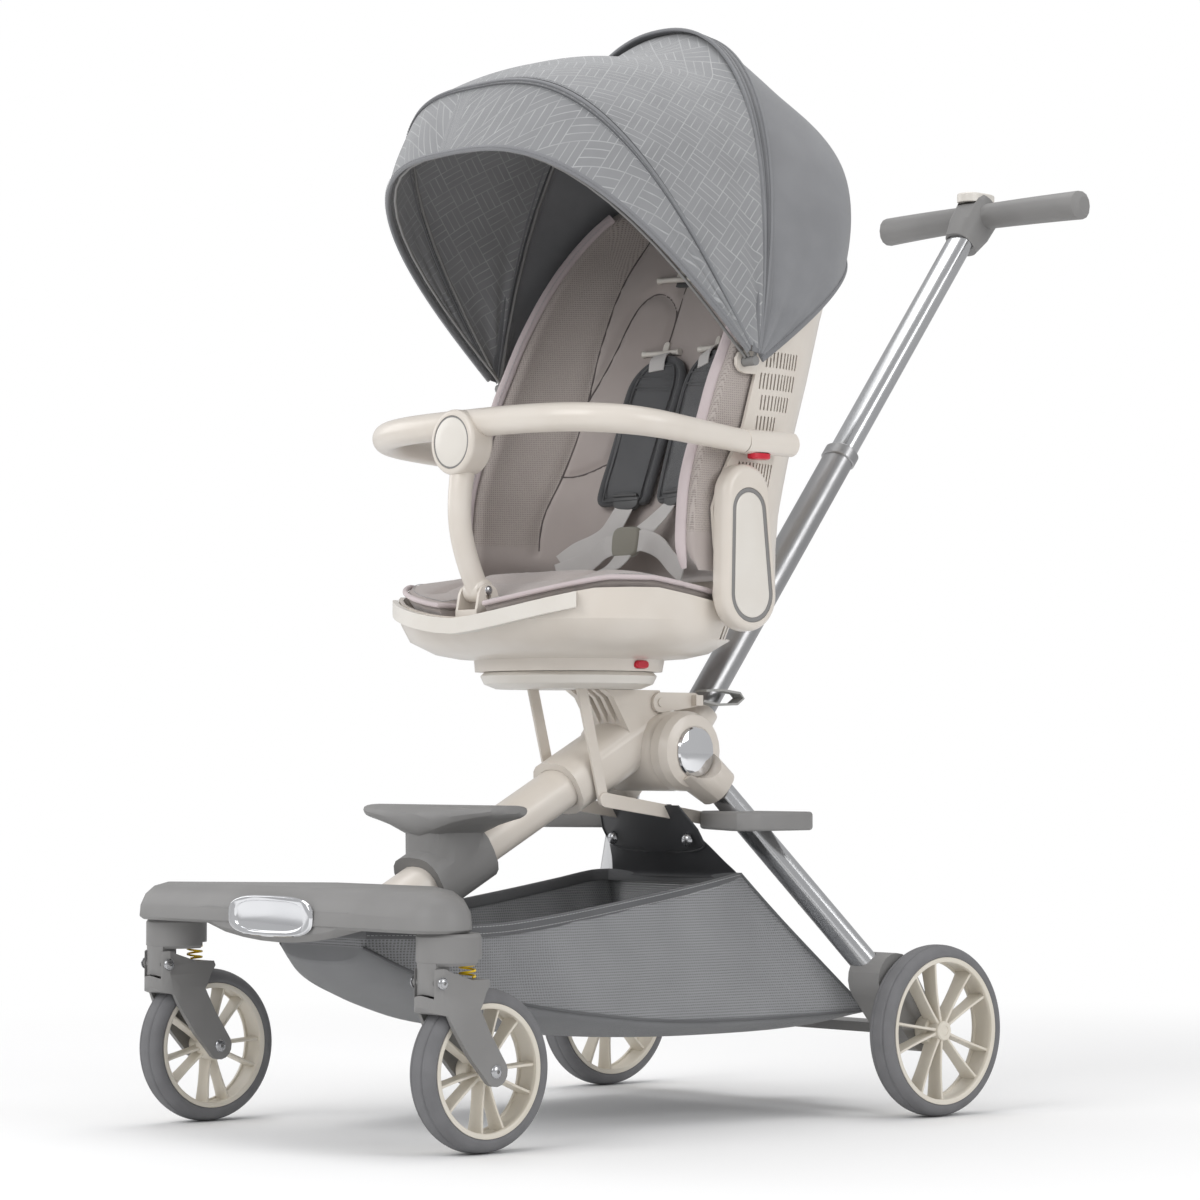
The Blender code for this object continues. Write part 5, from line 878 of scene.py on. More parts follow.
def slotBars():
    # Light bars with round ends, which stand a little off the pad over a dark plate, painted shade in the
    # slot.
    h = harnessSettings
    shells, slots = [], []
    for side in (-1, 1):
        for k, z in enumerate(h["slotHeights"]):
            middle = side * (0.04 + 0.01 * k)
            path = [onCushion(middle + h["slotHalf"] * i / 12, z, 0.0034) for i in range(-12, 13)]
            shells.append(tube("bar", path, [0.0029 if 1 < i < 23 else 0.0037 for i in range(25)], 16))
            shells.append(plateOn("stem", middle, z + 0.006, 0.004, 0.0075, -0.001, 0.0042, 3.0))
            # a dark plate in each slot, painted as the shade inside it
            slots.append(plateOn("slot", middle, z - 0.0045, 0.0185, 0.003, -0.001, 0.0007, 3.0, 0.0004))
    web(merged("slotBars", *shells), offWhite)
    web(merged("slotOpenings", *slots), darkNylonAndSlotShade)


def shoulderWebs():
    # Each web's line holds (x, z, distance off the pad's face).
    h = harnessSettings
    top = h["padDeep"] * 2 + 0.0022
    webs = {
        "shoulderWebTopRight": ((-0.036, 0.7965, 0.0004), (-0.035, 0.792, top * 0.7),
                                (-0.033, 0.784, top + 0.001), (-0.031, 0.772, top)),
        "shoulderWebTopLeft": ((0.044, 0.7965, 0.0004), (0.046, 0.792, top * 0.7),
                               (0.048, 0.784, top + 0.001), (0.05, 0.772, top)),
        "shoulderWebLowRight": ((-0.031, 0.64, 0.008), (-0.033, 0.622, 0.014), (-0.04, 0.606, 0.016),
                                (-0.052, 0.596, 0.012), (-0.068, 0.589, 0.008), (-0.086, 0.582, 0.006),
                                (-0.102, 0.57, 0.004)),
        "shoulderWebLowLeft": ((0.05, 0.64, 0.008), (0.044, 0.62, 0.016), (0.032, 0.603, 0.024),
                               (0.018, 0.59, 0.03), (0.008, 0.582, 0.032)),
        "lapWebRight": ((-0.014, 0.584, 0.03), (-0.03, 0.58, 0.034), (-0.05, 0.576, 0.024),
                        (-0.075, 0.569, 0.012), (-0.105, 0.56, 0.006)),
        "lapWebLeft": ((0.014, 0.584, 0.03), (0.034, 0.586, 0.03), (0.052, 0.58, 0.02),
                       (0.068, 0.566, 0.012), (0.084, 0.556, 0.006)),
    }
    for name, line in webs.items():
        dense = smoothPath(line, 0.004)
        half = h["webHalf"] * (0.88 if "Top" in name else 1.0)
        points, ups = [onCushion(*p) for p in dense], [faceUp(p.x, p.y) for p in dense]
        web(flatBand(name, points, ups, half, h["webDeep"]), webbing, angle=50)
    sliders = []
    for middle in padMiddles.values():
        rail = [onCushion(middle + h["sliderHalf"] * i / 6, 0.6385, 0.0155) for i in range(-6, 7)]
        plate = plateOn("slider", middle, h["sliderHeight"], h["sliderHalf"], 0.01, 0.0075, 0.015, 2.8)
        sliders.append(plate)
        sliders.append(tube("sliderBar", rail, 0.0017, 12))
    web(merged("webSliders", *sliders), darkNylonAndSlotShade, bevel=0.0004)


def buckle():
    # The soft plate that the webs meet at, with a strap that goes down through the seat pad.
    foot, up, across = onCushion(0.0, 0.585), faceUp(0.0, 0.585), Vector((1, 0, 0))
    tall = up.cross(across).normalized()
    layers = ((0.028, 0.0016), (0.0292, 0.0), (0.033, 0.0), (0.0345, 0.001), (0.035, 0.003))
    plate = layered("bucklePlate", foot, up, across, tall, 0.02, 0.016, layers, 4.5, 64)
    web(planarUv(plate), bucklePad, angle=60)
    layers = ((0.0296, 0.001), (0.0304, 0.0), (0.0318, 0.0), (0.0326, 0.001))
    wing = layered("buckleFrame", foot + tall * 0.001, up, across, tall, 0.0255, 0.0085, layers, 5.0, 48)
    web(planarUv(wing), webbing, angle=60)
    start = foot + up * 0.0315 - tall * 0.012
    line = [start, start + Vector((0, -0.012, -0.012)), start + Vector((0, -0.03, -0.02))]
    for y, off in ((0.02, 0.0014), (-0.002, 0.0008), (-0.01, -0.004)):
        line.append(Vector((0, y, seatTop(0.0, y) + off)))
    points = smoothPath(line, 0.004)
    last = len(points) - 1
    ups = [(points[min(i + 1, last)] - points[max(i - 1, 0)]).cross(across) for i in range(last + 1)]
    piece(flatBand("crotchWeb", points, ups, 0.0125, 0.0009), "seat", "strap_webbing", webbing, angle=50)


# Seat pad: an outline like the bowl's, a piped edge, a skirt below it and stuffing above

seatSettings = {
    "middleY": 0.02, "power": 2.4, "halfWide": 0.1745, "front": 0.1455, "rear": 0.15, "rearCut": 0.066,
    "rim": 0.534, "frontDip": 0.027, "rearDip": 0.015, "edgeUp": 0.0098, "crown": 0.0125, "pipe": 0.0027,
    "notchHalf": 0.0265, "notchBack": -0.079, "channelX": 0.088, "channelY": -0.04, "channelWide": 0.006,
    "skirt": ((0.012, -0.01), (0.008, -0.004), (0.0045, 0.001), (0.002, 0.0045), (0.0012, 0.0075)),
}


def rimHeight(x, y):
    s = seatSettings
    side = min(1.0, abs(x) / 0.155)
    ahead = min(1.0, max(0.0, (-0.02 - y) / 0.06))
    back = min(1.0, max(0.0, (y + 0.02) / 0.1))
    return s["rim"] - s["frontDip"] * (1 - side ** 1.5) * ahead - s["rearDip"] * back


def eased(value):
    value = min(1.0, max(0.0, value))
    return value * value * (3 - 2 * value)


def seatOutline(angle, share=1.0, inset=0.0):
    # A point of the pad's outline, pulled in round the bar's bracket and cut off behind.
    s = seatSettings
    reach = s["rear"] if sin(angle) > 0 else s["front"]
    x = (s["halfWide"] * share - inset) * powered(cos(angle), 2 / s["power"])
    y = (reach * share - inset) * powered(sin(angle), 2 / s["power"])
    y = min(y, s["rearCut"] * share - inset * 0.5) + s["middleY"]
    if y < s["notchBack"]:
        y += (s["notchBack"] - inset * 0.6 - y) * eased((s["notchHalf"] + 0.009 - abs(x)) / 0.011)
    return x, y


def seatTop(x, y):
    s = seatSettings
    reach = s["front"] if y < s["middleY"] else s["rearCut"] + 0.01
    power, wide = s["power"], s["channelWide"]
    share = (abs(x / s["halfWide"]) ** power + abs((y - s["middleY"]) / reach) ** power) ** (1 / power)
    rise = (1 - min(1.0, share) ** 3.2) ** 0.6
    inside = s["channelX"] - abs(x)
    channel = 0.0055 * exp(-(inside / wide) ** 2) * eased((0.93 - share) / 0.12)
    channel += 0.004 * exp(-((y - s["channelY"]) / wide) ** 2) * eased(inside / 0.012)
    return rimHeight(x, y) + s["edgeUp"] + s["crown"] * rise - channel


def seatRing(turns, share, inset, heightAt):
    spots = [seatOutline(angle, share, inset) for angle in turns]
    return [Vector((x, y, heightAt(x, y))) for x, y in spots]


def seatPad():
    s = seatSettings
    count, inward, nearMiddle = 288, 32, 0.985
    turns = [2 * pi * i / count for i in range(count)]
    edge = s["edgeUp"]
    rows = []
    for inset, low in s["skirt"]:
        ring = seatRing(turns, 1.0, inset, lambda x, y: rimHeight(x, y) + low)
        rows.append([p + Vector((0, 0, 0.0007 * sin(i * 0.9) * (low < 0.004))) for i, p in enumerate(ring)])
    for k in range(1, inward + 1):
        heightAt = seatTop if k > 1 else lambda x, y: rimHeight(x, y) + edge + 0.002
        rows.append(seatRing(turns, 1 - k / inward * nearMiddle, 0.0006, heightAt))
    pad = planarUv(loftRings("seatPad", rows), (1, 0.2, 0), (0, 1, 0.5))
    piece(pad, "seat", "seat_cloth", seatCloth, "seat_cushion", angle=70)
    path = seatRing(turns, 1.0, -0.0006, lambda x, y: rimHeight(x, y) + edge)
    cord("seatPiping", path, s["pipe"], 16, "seat", "seat_cloth", bindingCloth, True)
    path = seatRing(turns, 1.0, 0.0015, lambda x, y: rimHeight(x, y) + edge - s["pipe"] - 0.0009)
    cord("seatSeam", path, 0.0009, 8, "seat", "seat_cloth", piping, True)


# Basket: stretched net with a taped rim, a solid belly below the seam and a vinyl flap behind

basketSettings = {"skin": 0.0018, "hem": 0.0125, "rowStep": 0.006, "belly": 30, "wall": 22, "strips": 16}
# the rim's place along the basket, the seam's, half rim, half seam, and the heights of seam, belly and rim
basketStations = (
    (-0.3, -0.3, 0.07, 0.064, 0.185, 0.17, 0.2044), (-0.262, -0.262, 0.096, 0.09, 0.162, 0.142, 0.2044),
    (-0.216, -0.216, 0.108, 0.106, 0.146, 0.122, 0.2044), (-0.189, -0.189, 0.11, 0.11, 0.138, 0.112, 0.2044),
    (-0.15, -0.15, 0.11, 0.118, 0.128, 0.101, 0.206), (-0.08, -0.08, 0.11, 0.138, 0.116, 0.091, 0.213),
    (0.02, 0.02, 0.11, 0.152, 0.105, 0.083, 0.226), (0.1, 0.13, 0.11, 0.166, 0.103, 0.081, 0.2375),
    (0.15, 0.215, 0.108, 0.18, 0.105, 0.085, 0.2455), (0.168, 0.261, 0.1, 0.19, 0.107, 0.098, 0.2465))
# The net hangs between the frame in front and the folding legs behind
netBody = ("chassis", "rear_frame", (0, -0.09, 0.15), (0, 0.085, 0.125))


def net(obj, material, **more):
    piece(obj, netBody, "basket_net", material, **more)


def basketRow(rimY, out=0.0):
    # One section from rim to rim, with a slack bow in the walls.
    b = basketSettings
    seamY, halfRim, halfSeam, seamZ, bellyZ, rimZ = stationAt(basketStations, rimY)
    side = []
    for k in range(b["wall"]):
        t = k / b["wall"]
        fold = 0.0011 * sin(rimY * 74 + t * 4.1) + 0.0007 * sin(rimY * 151 - t * 6.7) - 0.0042
        x = halfRim + (halfSeam - halfRim) * t + fold * sin(pi * t)
        side.append((x + out, rimZ + (seamZ - rimZ) * t))
    for k in range(b["belly"] // 2):
        a = pi * k / b["belly"]
        x = (halfSeam + out) * cos(a) ** (2 / 2.6)
        side.append((x, seamZ - (seamZ - bellyZ + out) * sin(a) ** (2 / 2.2)))
    outline = side + [(0.0, bellyZ - out)] + [(-x, z) for x, z in reversed(side)]
    slope = (seamY - rimY) / (rimZ - seamZ)
    return [Vector((x, rimY + slope * (rimZ - z), z)) for x, z in outline]


def basketBag(rows):
    # The skin, and which of its faces lie below the seam.
    wall, strips = basketSettings["wall"], basketSettings["strips"]
    count, width = len(rows) - 1, len(rows[0])
    verts = [p for row in rows for p in row]
    faces, lowFaces = [], []
    for i in range(count):
        for k in range(width - 1):
            a = i * width + k
            faces.append((a, a + 1, a + width + 1, a + width))
            lowFaces.append(wall <= k < width - 1 - wall)
    # The end walls are strips from one side to the other
    for row in (0, count):
        base = row * width
        lines = []
        for k in range(width // 2):
            left, right = rows[row][k], rows[row][width - 1 - k]
            first = len(verts)
            verts += [left.lerp(right, m / strips) for m in range(1, strips)]
            lines.append([base + k, *range(first, len(verts)), base + width - 1 - k])
        lines.append([base + width // 2] * (strips + 1))
        for level, (upper, under) in enumerate(zip(lines, lines[1:])):
            for m in range(strips):
                quad = tuple(dict.fromkeys((upper[m], upper[m + 1], under[m + 1], under[m])))
                faces.append(quad if row else quad[::-1])
                lowFaces.append(level >= wall)
    return meshObject("basketNet", verts, faces), lowFaces


def makeBasket():
    b = basketSettings
    first, last = basketStations[0][0], basketStations[-1][0]
    count = int((last - first) / b["rowStep"])
    stops = [first + (last - first) * i / count for i in range(count + 1)]
    rows = [basketRow(y) for y in stops]
    bag, lowFaces = basketBag(rows)
    bag.data.materials.append(basketNet)
    bag.data.materials.append(bellyCloth)
    for polygon, low in zip(bag.data.polygons, lowFaces):
        polygon.material_index = int(low)
    outward(bag)
    addModifier(bag, "SOLIDIFY", thickness=b["skin"], offset=-1)
    applied(bag)
    layer = bag.data.uv_layers.new(name="cloth")
    for polygon in bag.data.polygons:
        side, ahead, up = (abs(c) for c in polygon.normal)
        for index in polygon.loop_indices:
            x, y, z = bag.data.vertices[bag.data.loops[index].vertex_index].co
            layer.data[index].uv = (y, z) if side > 0.55 else ((x, y) if up > ahead * 1.4 else (x, z))
    net(bag, None, stands="basket", angle=75)
    shares = [k / 14 for k in range(1, 14)]
    rim = [row[0] for row in rows] + [rows[-1][0].lerp(rows[-1][-1], t) for t in shares]
    rim += [row[-1] for row in reversed(rows)] + [rows[0][-1].lerp(rows[0][0], t) for t in shares]
    hem = [p - Vector((0, 0, b["hem"] / 2 - 0.0012)) for p in rim]
    up = Vector((0, 0, 1))
    rings = [ovalRing(p, (hem[(i + 1) % len(hem)] - hem[i - 1]).cross(up), up, 0.0022, b["hem"] / 2, 3.5, 16)
             for i, p in enumerate(hem)]
    net(planarUv(loftRings("basketHem", rings, True), (1, 1, 0), up), hemTape)
    seamRows = [basketRow(y, 0.0003) for y in stops]
    seams = [tube("seam", [row[k] for row in seamRows], 0.0017, 10) for k in (b["wall"], -1 - b["wall"])]
    net(planarUv(merged("basketSeams", *seams)), hemTape)
    ends = (rows[-1], rows[-1][::-1])
    corners = [tube("corner", row[:b["wall"] + 1], 0.002, 10) for row in ends]
    net(planarUv(merged("basketCorners", *corners)), hemTape)


# The flap's lines hold (place, height, half width) from the top down.
flapSettings = {
    "lines": ((0.168, 0.2415, 0.0955), (0.1675, 0.247, 0.0945), (0.158, 0.26, 0.085),
              (0.141, 0.282, 0.0705), (0.1355, 0.29, 0.056), (0.12, 0.318, 0.046)),
    "skin": 0.0016, "bow": 0.004, "tabTop": 0.3165, "tabLong": 0.049, "tabBow": 0.0045,
    "snapX": 0.057, "snapY": 0.1332, "snapZ": 0.2815,
    "snap": ((-0.0044, 0.0), (-0.004, 0.003), (-0.0026, 0.0054), (-0.0008, 0.0068), (0.0004, 0.0072),
             (0.0012, 0.0072), (0.0012, 0.0)),
}


def bowedRow(y, z, half, bow, count, skin):
    # A line across that bows forward in the middle, and back along its other face.
    outline = []
    for k in range(count + 1):
        u = -1 + 2 * k / count
        outline.append(Vector((half * u, y - bow * (1 - u * u), z)))
    return outline + [p + Vector(skin) for p in reversed(outline)]


def makeFlap():
    f = flapSettings
    flapRows = [bowedRow(*p, f["bow"], 24, (0, f["skin"], 0)) for p in smoothPath(f["lines"], 0.002)]
    flat = ((1, 0, 0), (0, 0, 1))
    net(planarUv(loftRings("basketFlap", flapRows), *flat), vinylCloth, angle=60)
    # A tab comes down over the flap and is held by two snaps
    tabRows = []
    steps, across = 20, 16
    for k in range(steps + 1):
        t = k / steps
        z = f["tabTop"] - f["tabLong"] * t
        half = 0.06 + 0.012 * min(1.0, t / 0.5)
        half *= math.sqrt(max(0.0, 1 - max(0.0, (t - 0.8) / 0.215) ** 2.4))
        y = 0.1165 + (0.318 - z) * 0.66
        tabRows.append(bowedRow(y, z, half, f["tabBow"], across, (0, f["skin"], 0.0006)))
    net(planarUv(loftRings("basketTab", tabRows), *flat), vinylCloth, angle=60)
    edge = [row[0] for row in tabRows] + [row[across] for row in reversed(tabRows)]
    cord("basketTabEdge", edge, 0.0012, 10, netBody, "basket_net", vinylCloth)
    snaps = [revolved("snap", f["snap"], (x, f["snapY"], f["snapZ"]), "Y", 40)
             for x in (-f["snapX"], f["snapX"])]
    net(merged("flapSnaps", *snaps), zincBolt)


seatPad()
shoulderPads = [shoulderPad(mark, middle) for mark, middle in padMiddles.items()]
slotBars()
shoulderWebs()
buckle()
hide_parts("harness")
makeBasket()
makeFlap()
print("seat pad, harness and basket made")


# Rigid pieces that stand in for coarse solids

def sideOf(node):
    # +1 for a node on the photo's near side, -1 for its twin.
    return 1 if sum(v.co.x for v in nodes[node].data.vertices) > 0 else -1


wheelSettings = {
    "front": {"x": 0.213, "y": -0.2805, "tyre": 0.0767, "rim": 0.0627, "phase": 62, "hub": 0.0177,
              "face": 0.0177},
    "rear": {"x": 0.251, "y": 0.3, "tyre": 0.0875, "rim": 0.075, "phase": 40, "hub": 0.0164, "face": 0.013},
    "width": 0.031, "pairs": 5, "hubR": 0.01, "sleeveR": 0.0148, "lip": 0.005, "boreR": 0.0049,
    "groove": 0.0012, "grooveX": 0.0068, "grooveWide": 0.00085, "spread": 13, "depth": 0.011,
    "pivot": (-0.341, 0.16)}


def tyreProfile(radius, seat):
    # From one bead over the crown to the other, with two grooves that run round the tread.
    w = wheelSettings
    half = w["width"] / 2
    profile = [(half * 0.9, seat)]
    for i in range(73):
        a = radians(2.5 * i)
        x = half * powered(cos(a), 0.86)
        bulge = 0.82 * sin(a) ** 0.8 if 0 < i < 72 else 0.0
        cut = sum(exp(-((x - s * w["grooveX"]) / w["grooveWide"]) ** 2) for s in (-1, 1)) * (sin(a) > 0.3)
        profile.append((x, seat + (radius - seat) * (0.18 + bulge) - w["groove"] * cut))
    return profile + [(-half * 0.9, seat), profile[0]]


def spokes(centre, rim, phase):
    w = wheelSettings
    tip, root = rim - 0.0012, w["hubR"] - 0.0015
    for i in range(w["pairs"]):
        for spread in (-w["spread"], w["spread"]):
            angle = radians(phase + 360 / w["pairs"] * i + spread)
            way, over = Vector((0, cos(angle), sin(angle))), Vector((0, -sin(angle), cos(angle)))
            rings = []
            for t in (k / 8 for k in range(9)):
                deep = w["depth"] * (0.86 + 0.14 * t) - 0.0018 * sin(pi * t)
                thick = 0.0014 + 0.0006 * (2 * t - 1) ** 8
                spot = centre + way * (root + (tip - root) * t)
                rings.append(ovalRing(spot, (1, 0, 0), over, deep, thick, 7.0, 24))
            yield loftRings("blade", rings)


def makeWheel(mark, side):
    w, s = wheelSettings, wheelSettings[mark]
    tyre, rim, body = (f"{mark}_{part}_{side}" for part in ("tyre", "rim", "wheel"))
    sign = sideOf(tyre)
    centre = Vector((sign * s["x"], s["y"], s["tyre"]))
    tread = revolved(camelName(tyre) + "Tread", tyreProfile(s["tyre"], s["rim"] + 0.0003), centre, "X", 128)
    piece(tread, body, "tyre_rubber", None, tyre, angle=50)
    half, r, lip = w["width"] / 2 - 0.001, s["rim"], w["lip"]
    low = r - lip
    outer = [(-half, r), (half, r), (half, low + 0.001), (half - 0.0008, low), (half - 0.004, low - 0.0004),
             (half - 0.0046, low + 0.0004), (half - 0.0048, low + 0.0016), (0.0, r - lip * 0.45)]
    shells = [revolved("band", outer + [(-d, q) for d, q in reversed(outer[1:-1])], centre, "X", 128)]
    shells += spokes(centre, r, s["phase"])
    b, f, h, bore, sleeve = -s["hub"], s["face"], w["hubR"], w["boreR"], w["sleeveR"]
    turned = [((b, bore), (b, h - 0.0008), (b + 0.0008, h), (f - 0.0012, h), (f, h - 0.0012), (f, bore),
               (b, bore)),
              ((b, h - 0.001), (b, sleeve - 0.0008), (b + 0.0008, sleeve), (-0.0022, sleeve),
               (-0.001, sleeve - 0.0012), (-0.001, h - 0.001), (b, h - 0.001))]
    if mark == "rear":
        bore += 0.0003
        turned.append(((0.0, 0.0), (0.0, bore), (f - 0.0006, bore), (f - 0.0002, 0.003), (f, 0.0)))
    for profile, steps in zip(turned, (64, 64, 48)):
        shells.append(revolved("hub", [(sign * d, q) for d, q in profile], centre, "X", steps))
    whole = outward(merged(camelName(rim) + "Body", *shells))
    piece(whole, body, "cream_plastic", wheelPlastic, rim, angle=40, bevel=0.0004, segments=2)


def domeBolt(name, centre, way, radius, body):
    # A domed head with a small recess, its axis along X.
    profile = [(-0.0008, 0.0), (-0.0008, radius), (0.0004, radius)]
    profile += [(radius * 0.46 * sin(radians(a)), radius * 0.98 * cos(radians(a))) for a in range(8, 75, 8)]
    profile += [(radius * 0.44, radius * 0.27), (radius * 0.24, radius * 0.24), (radius * 0.22, 0.0)]
    bolt = revolved(name, [(way * d, r) for d, r in profile], centre, "X", 48)
    piece(bolt, body, "chrome_plate", zincBolt, angle=35)


def forkBolts(side):
    sign = sideOf("front_tyre_" + side)
    s = wheelSettings["front"]
    for mark, y, z, off, radius in (("Axle", s["y"], s["tyre"], 0.0241, 0.0064),
                                    ("Pivot", *wheelSettings["pivot"], 0.0201, 0.0058)):
        for way in (-1, 1):
            name = f"fork{mark}Bolt{side.upper()}{'Out' if way == sign else 'In'}"
            domeBolt(name, (sign * s["x"] + way * off, y, z), way, radius, "fork_" + side)


for side in ("l", "r"):
    makeWheel("front", side)
    makeWheel("rear", side)
    forkBolts(side)


# Side covers: a cream housing, a white face and a grey ring let into it

coverSettings = {"inner": 0.1833, "thick": 0.02, "low": (0.085, 0.53), "lowR": 0.0375,
                 "high": (0.0815, 0.633), "highR": 0.032, "roll": 0.0085, "ring": 0.0086, "ringWide": 0.0048,
                 "lowered": 0.02, "topDrop": 0.005}


def coverPieces(node):
    # Each part's steps hold (how far out from the cover's face, how far in from its edge).
    c = coverSettings
    sign = sideOf(node)
    outer = c["inner"] + c["thick"]

    def section(off, inset):
        y, z = c["high"]
        z -= c["lowered"] if inset >= c["ring"] else c["topDrop"]
        outline = stadium(c["low"], c["lowR"] - inset, (y, z), c["highR"] - inset, 40)
        return [Vector((sign * (outer + off), y, z)) for y, z in outline]

    turns = [pi / 2 * k / 10 for k in range(11)]
    housing = [(-c["thick"], 0.002), (-c["thick"] + 0.0012, 0.0006), (-c["thick"] + 0.003, 0.0)]
    housing += [(-c["roll"] * (1 - sin(a)) - 0.0002, c["roll"] * (1 - cos(a)) * 0.94) for a in turns]
    housing += [(-0.0002, c["ring"]), (-0.0016, c["ring"] + 0.0003)]
    a, b = c["ring"] + 0.0004, c["ring"] + c["ringWide"]
    ring = ((-0.002, a), (-0.0007, a), (-0.0004, a + 0.0003), (-0.0004, b - 0.0003), (-0.0007, b),
            (-0.002, b))
    face = ((-0.002, b + 0.0002), (-0.0006, b + 0.0002), (-0.0001, b + 0.0008), (0.0, b + 0.0022),
            (0.0004, b + 0.008))
    for part, steps, slotName, stands in (("Housing", housing, "cream_plastic", node),
                                          ("Ring", ring, "grey_plastic", None),
                                          ("Face", face, "off_white_plastic", None)):
        name = camelName(node) + part + ("Far" if sign < 0 else "")
        obj = loftRings(name, [section(*step) for step in steps], part == "Ring")
        piece(obj, "backrest", slotName, None, stands, angle=50)


coverPieces("side_cover_l")
coverPieces("side_cover_r")


# Bumper bar: padded bar with a disc in front, on a bowed post

barSettings = {"r": 0.0118, "frontR": 0.0145, "halfWidth": 0.1955, "z": 0.683, "rise": 0.0185, "front": 0.117,
               "endY": 0.08, "power": 3.1, "discR": 0.033, "discThick": 0.03, "discY": -0.123, "discZ": 0.682,
               "postR": 0.0115, "bow": 0.013, "foot": (0.0, -0.102, 0.534), "bracketHalf": 0.0162}


def barLine():
    b = barSettings
    plan = [(b["halfWidth"], b["endY"] - 0.004 * i, 0) for i in range(20)]
    ends = [(-x, y, z) for x, y, z in reversed(plan)]
    power = 2 / b["power"]
    for a in (pi * i / 120 for i in range(121)):
        plan.append((b["halfWidth"] * powered(cos(a), power), -b["front"] * sin(a) ** power, 0))
    points, radius = [], []
    for p in smoothPath(plan + ends, 0.004):
        ahead = (b["endY"] - p.y) / (b["endY"] + b["front"])
        points.append(Vector((p.x, p.y, b["z"] + b["rise"] * ahead)))
        radius.append(b["r"] + (b["frontR"] - b["r"]) * min(1.0, ahead * 1.3))
    return points, radius


def bumperPieces():
    b = barSettings
    bar = tube("bumperBarPadding", *barLine(), 40)
    piece(bar, "bumper", "cream_plastic", None, "bumper_bar", angle=60)
    half, r = b["discThick"] / 2, b["discR"]
    housing = [(half, 0.0), (half, r - 0.006), *rolled(half - 0.006, r - 0.006, 0.006, range(10, 91, 10))]
    housing += rolled(-half + 0.0045, r - 0.0045, 0.0045, range(90, -1, -10), -1)
    housing += [(-half, r - 0.0062), (-half + 0.0022, r - 0.0064), (-half + 0.0022, 0.0)]
    ring = [(-half + 0.002, r - 0.0066), (-half + 0.0003, r - 0.0066), (-half + 0.0003, r - 0.008),
            (-half + 0.002, r - 0.008), (-half + 0.002, r - 0.0066)]
    face = [(-half + 0.002, 0.0), (-half + 0.002, r - 0.0082), (-half + 0.0002, r - 0.0082),
            (-half - 0.0003, r - 0.009), (-half - 0.0008, r * 0.4), (-half - 0.0009, 0.0)]
    for part, profile, slotName, stands, angle in (("Housing", housing, "cream_plastic", None, 45),
                                                   ("Ring", ring, "grey_plastic", None, 38),
                                                   ("Face", face, "off_white_plastic", "bumper_cap", 45)):
        disc = revolved("bumperDisc" + part, profile, (0, b["discY"], b["discZ"]), "Y", 128)
        piece(disc, "bumper", slotName, None, stands, angle=angle)
    top, foot = Vector((0, b["discY"] + 0.001, b["discZ"] - r + 0.008)), Vector(b["foot"])
    shares = [i / 48 for i in range(49)]
    line = [foot.lerp(top, t) + Vector((0, -b["bow"] * sin(pi * t), 0)) for t in shares]
    post = tube("post", line, [b["postR"] * (1.0 + 0.1 * t ** 3) for t in shares], 40)
    end = b["postR"]
    knuckle = revolved("knuckle", ((-end, 0.0), (-end, 0.0105), (-end + 0.001, 0.0115), (end - 0.001, 0.0115),
                                   (end, 0.0105), (end, 0.0)), foot, "X", 64)
    whole = merged("bumperPostBody", post, knuckle)
    piece(whole, "bumper", "cream_plastic", None, "bumper_post", angle=50)
    for way, mark in ((-1, "In"), (1, "Out")):
        domeBolt("bracketBolt" + mark, (way * b["bracketHalf"], *b["foot"][1:]), way, 0.0048, "seat")


bumperPieces()


# Shell vents: rows of slanted slots, and the grille under the bar's end

ventSettings = {
    "rows": ((0.697, 0.712, 0.112, 6), (0.7175, 0.7335, 0.118, 9), (0.739, 0.756, 0.1165, 11),
             (0.7615, 0.7785, 0.126, 10)),
    "pitch": 0.0054, "slotR": 0.0011, "lean": 0.16, "shell": (0.165, 0.1935),
    "grilleTop": 0.664, "grilleFrom": 0.0875, "grilleCount": 11, "grillePitch": 0.0049,
    "edgeFrom": (0.0816, 0.6585), "edgeTo": (0.144, 0.6285),
    "bowlCount": 7, "bowlFrom": 0.082, "bowlPitch": 0.0078, "bowlHeights": (0.4865, 0.4975), "bowlR": 0.0015,
    "bowl": (0.095, 0.19)}


def cutThrough(name, outlines, depths):
    # Both sides' cutters in one object, in the row frame: each outline pushed from depth to depth along X.
    slabs = [loftRings("slot", [[Vector((side * x, y, z)) for y, z in outline] for x in depths])
             for side in (-1, 1) for outline in outlines]
    whole = merged(name, *slabs)
    toRow(whole)
    return outward(whole)


def shellSlots():
    v = ventSettings
    (ya, za), (yb, zb) = v["edgeFrom"], v["edgeTo"]
    spots = [(start + v["pitch"] * i, low, high)
             for low, high, start, count in v["rows"] for i in range(count)]
    for i in range(v["grilleCount"]):
        y = v["grilleFrom"] + v["grillePitch"] * i
        spots.append((y, za + (zb - za) * (y - ya) / (yb - ya) + 0.003, v["grilleTop"]))
    r = v["slotR"]
    return cutThrough("slots", [stadium((y, low + r), r, (y + (high - low) * v["lean"], high - r), r, 6)
                                for y, low, high in spots], v["shell"])


def bowlSlots():
    # Short upright slots at each rear side of the bowl.
    v = ventSettings
    low, high = v["bowlHeights"]
    r = v["bowlR"]
    places = [v["bowlFrom"] + v["bowlPitch"] * i for i in range(v["bowlCount"])]
    return cutThrough("bowlSlotCutter", [stadium((y, low), r, (y, high), r, 8) for y in places], v["bowl"])


refined("back_shell", shellSlots())
refined("seat_bowl", bowlSlots())
print("wheels, covers, bumper and shell made")


# Tubes: legs and handle, drawn smooth along their own lines

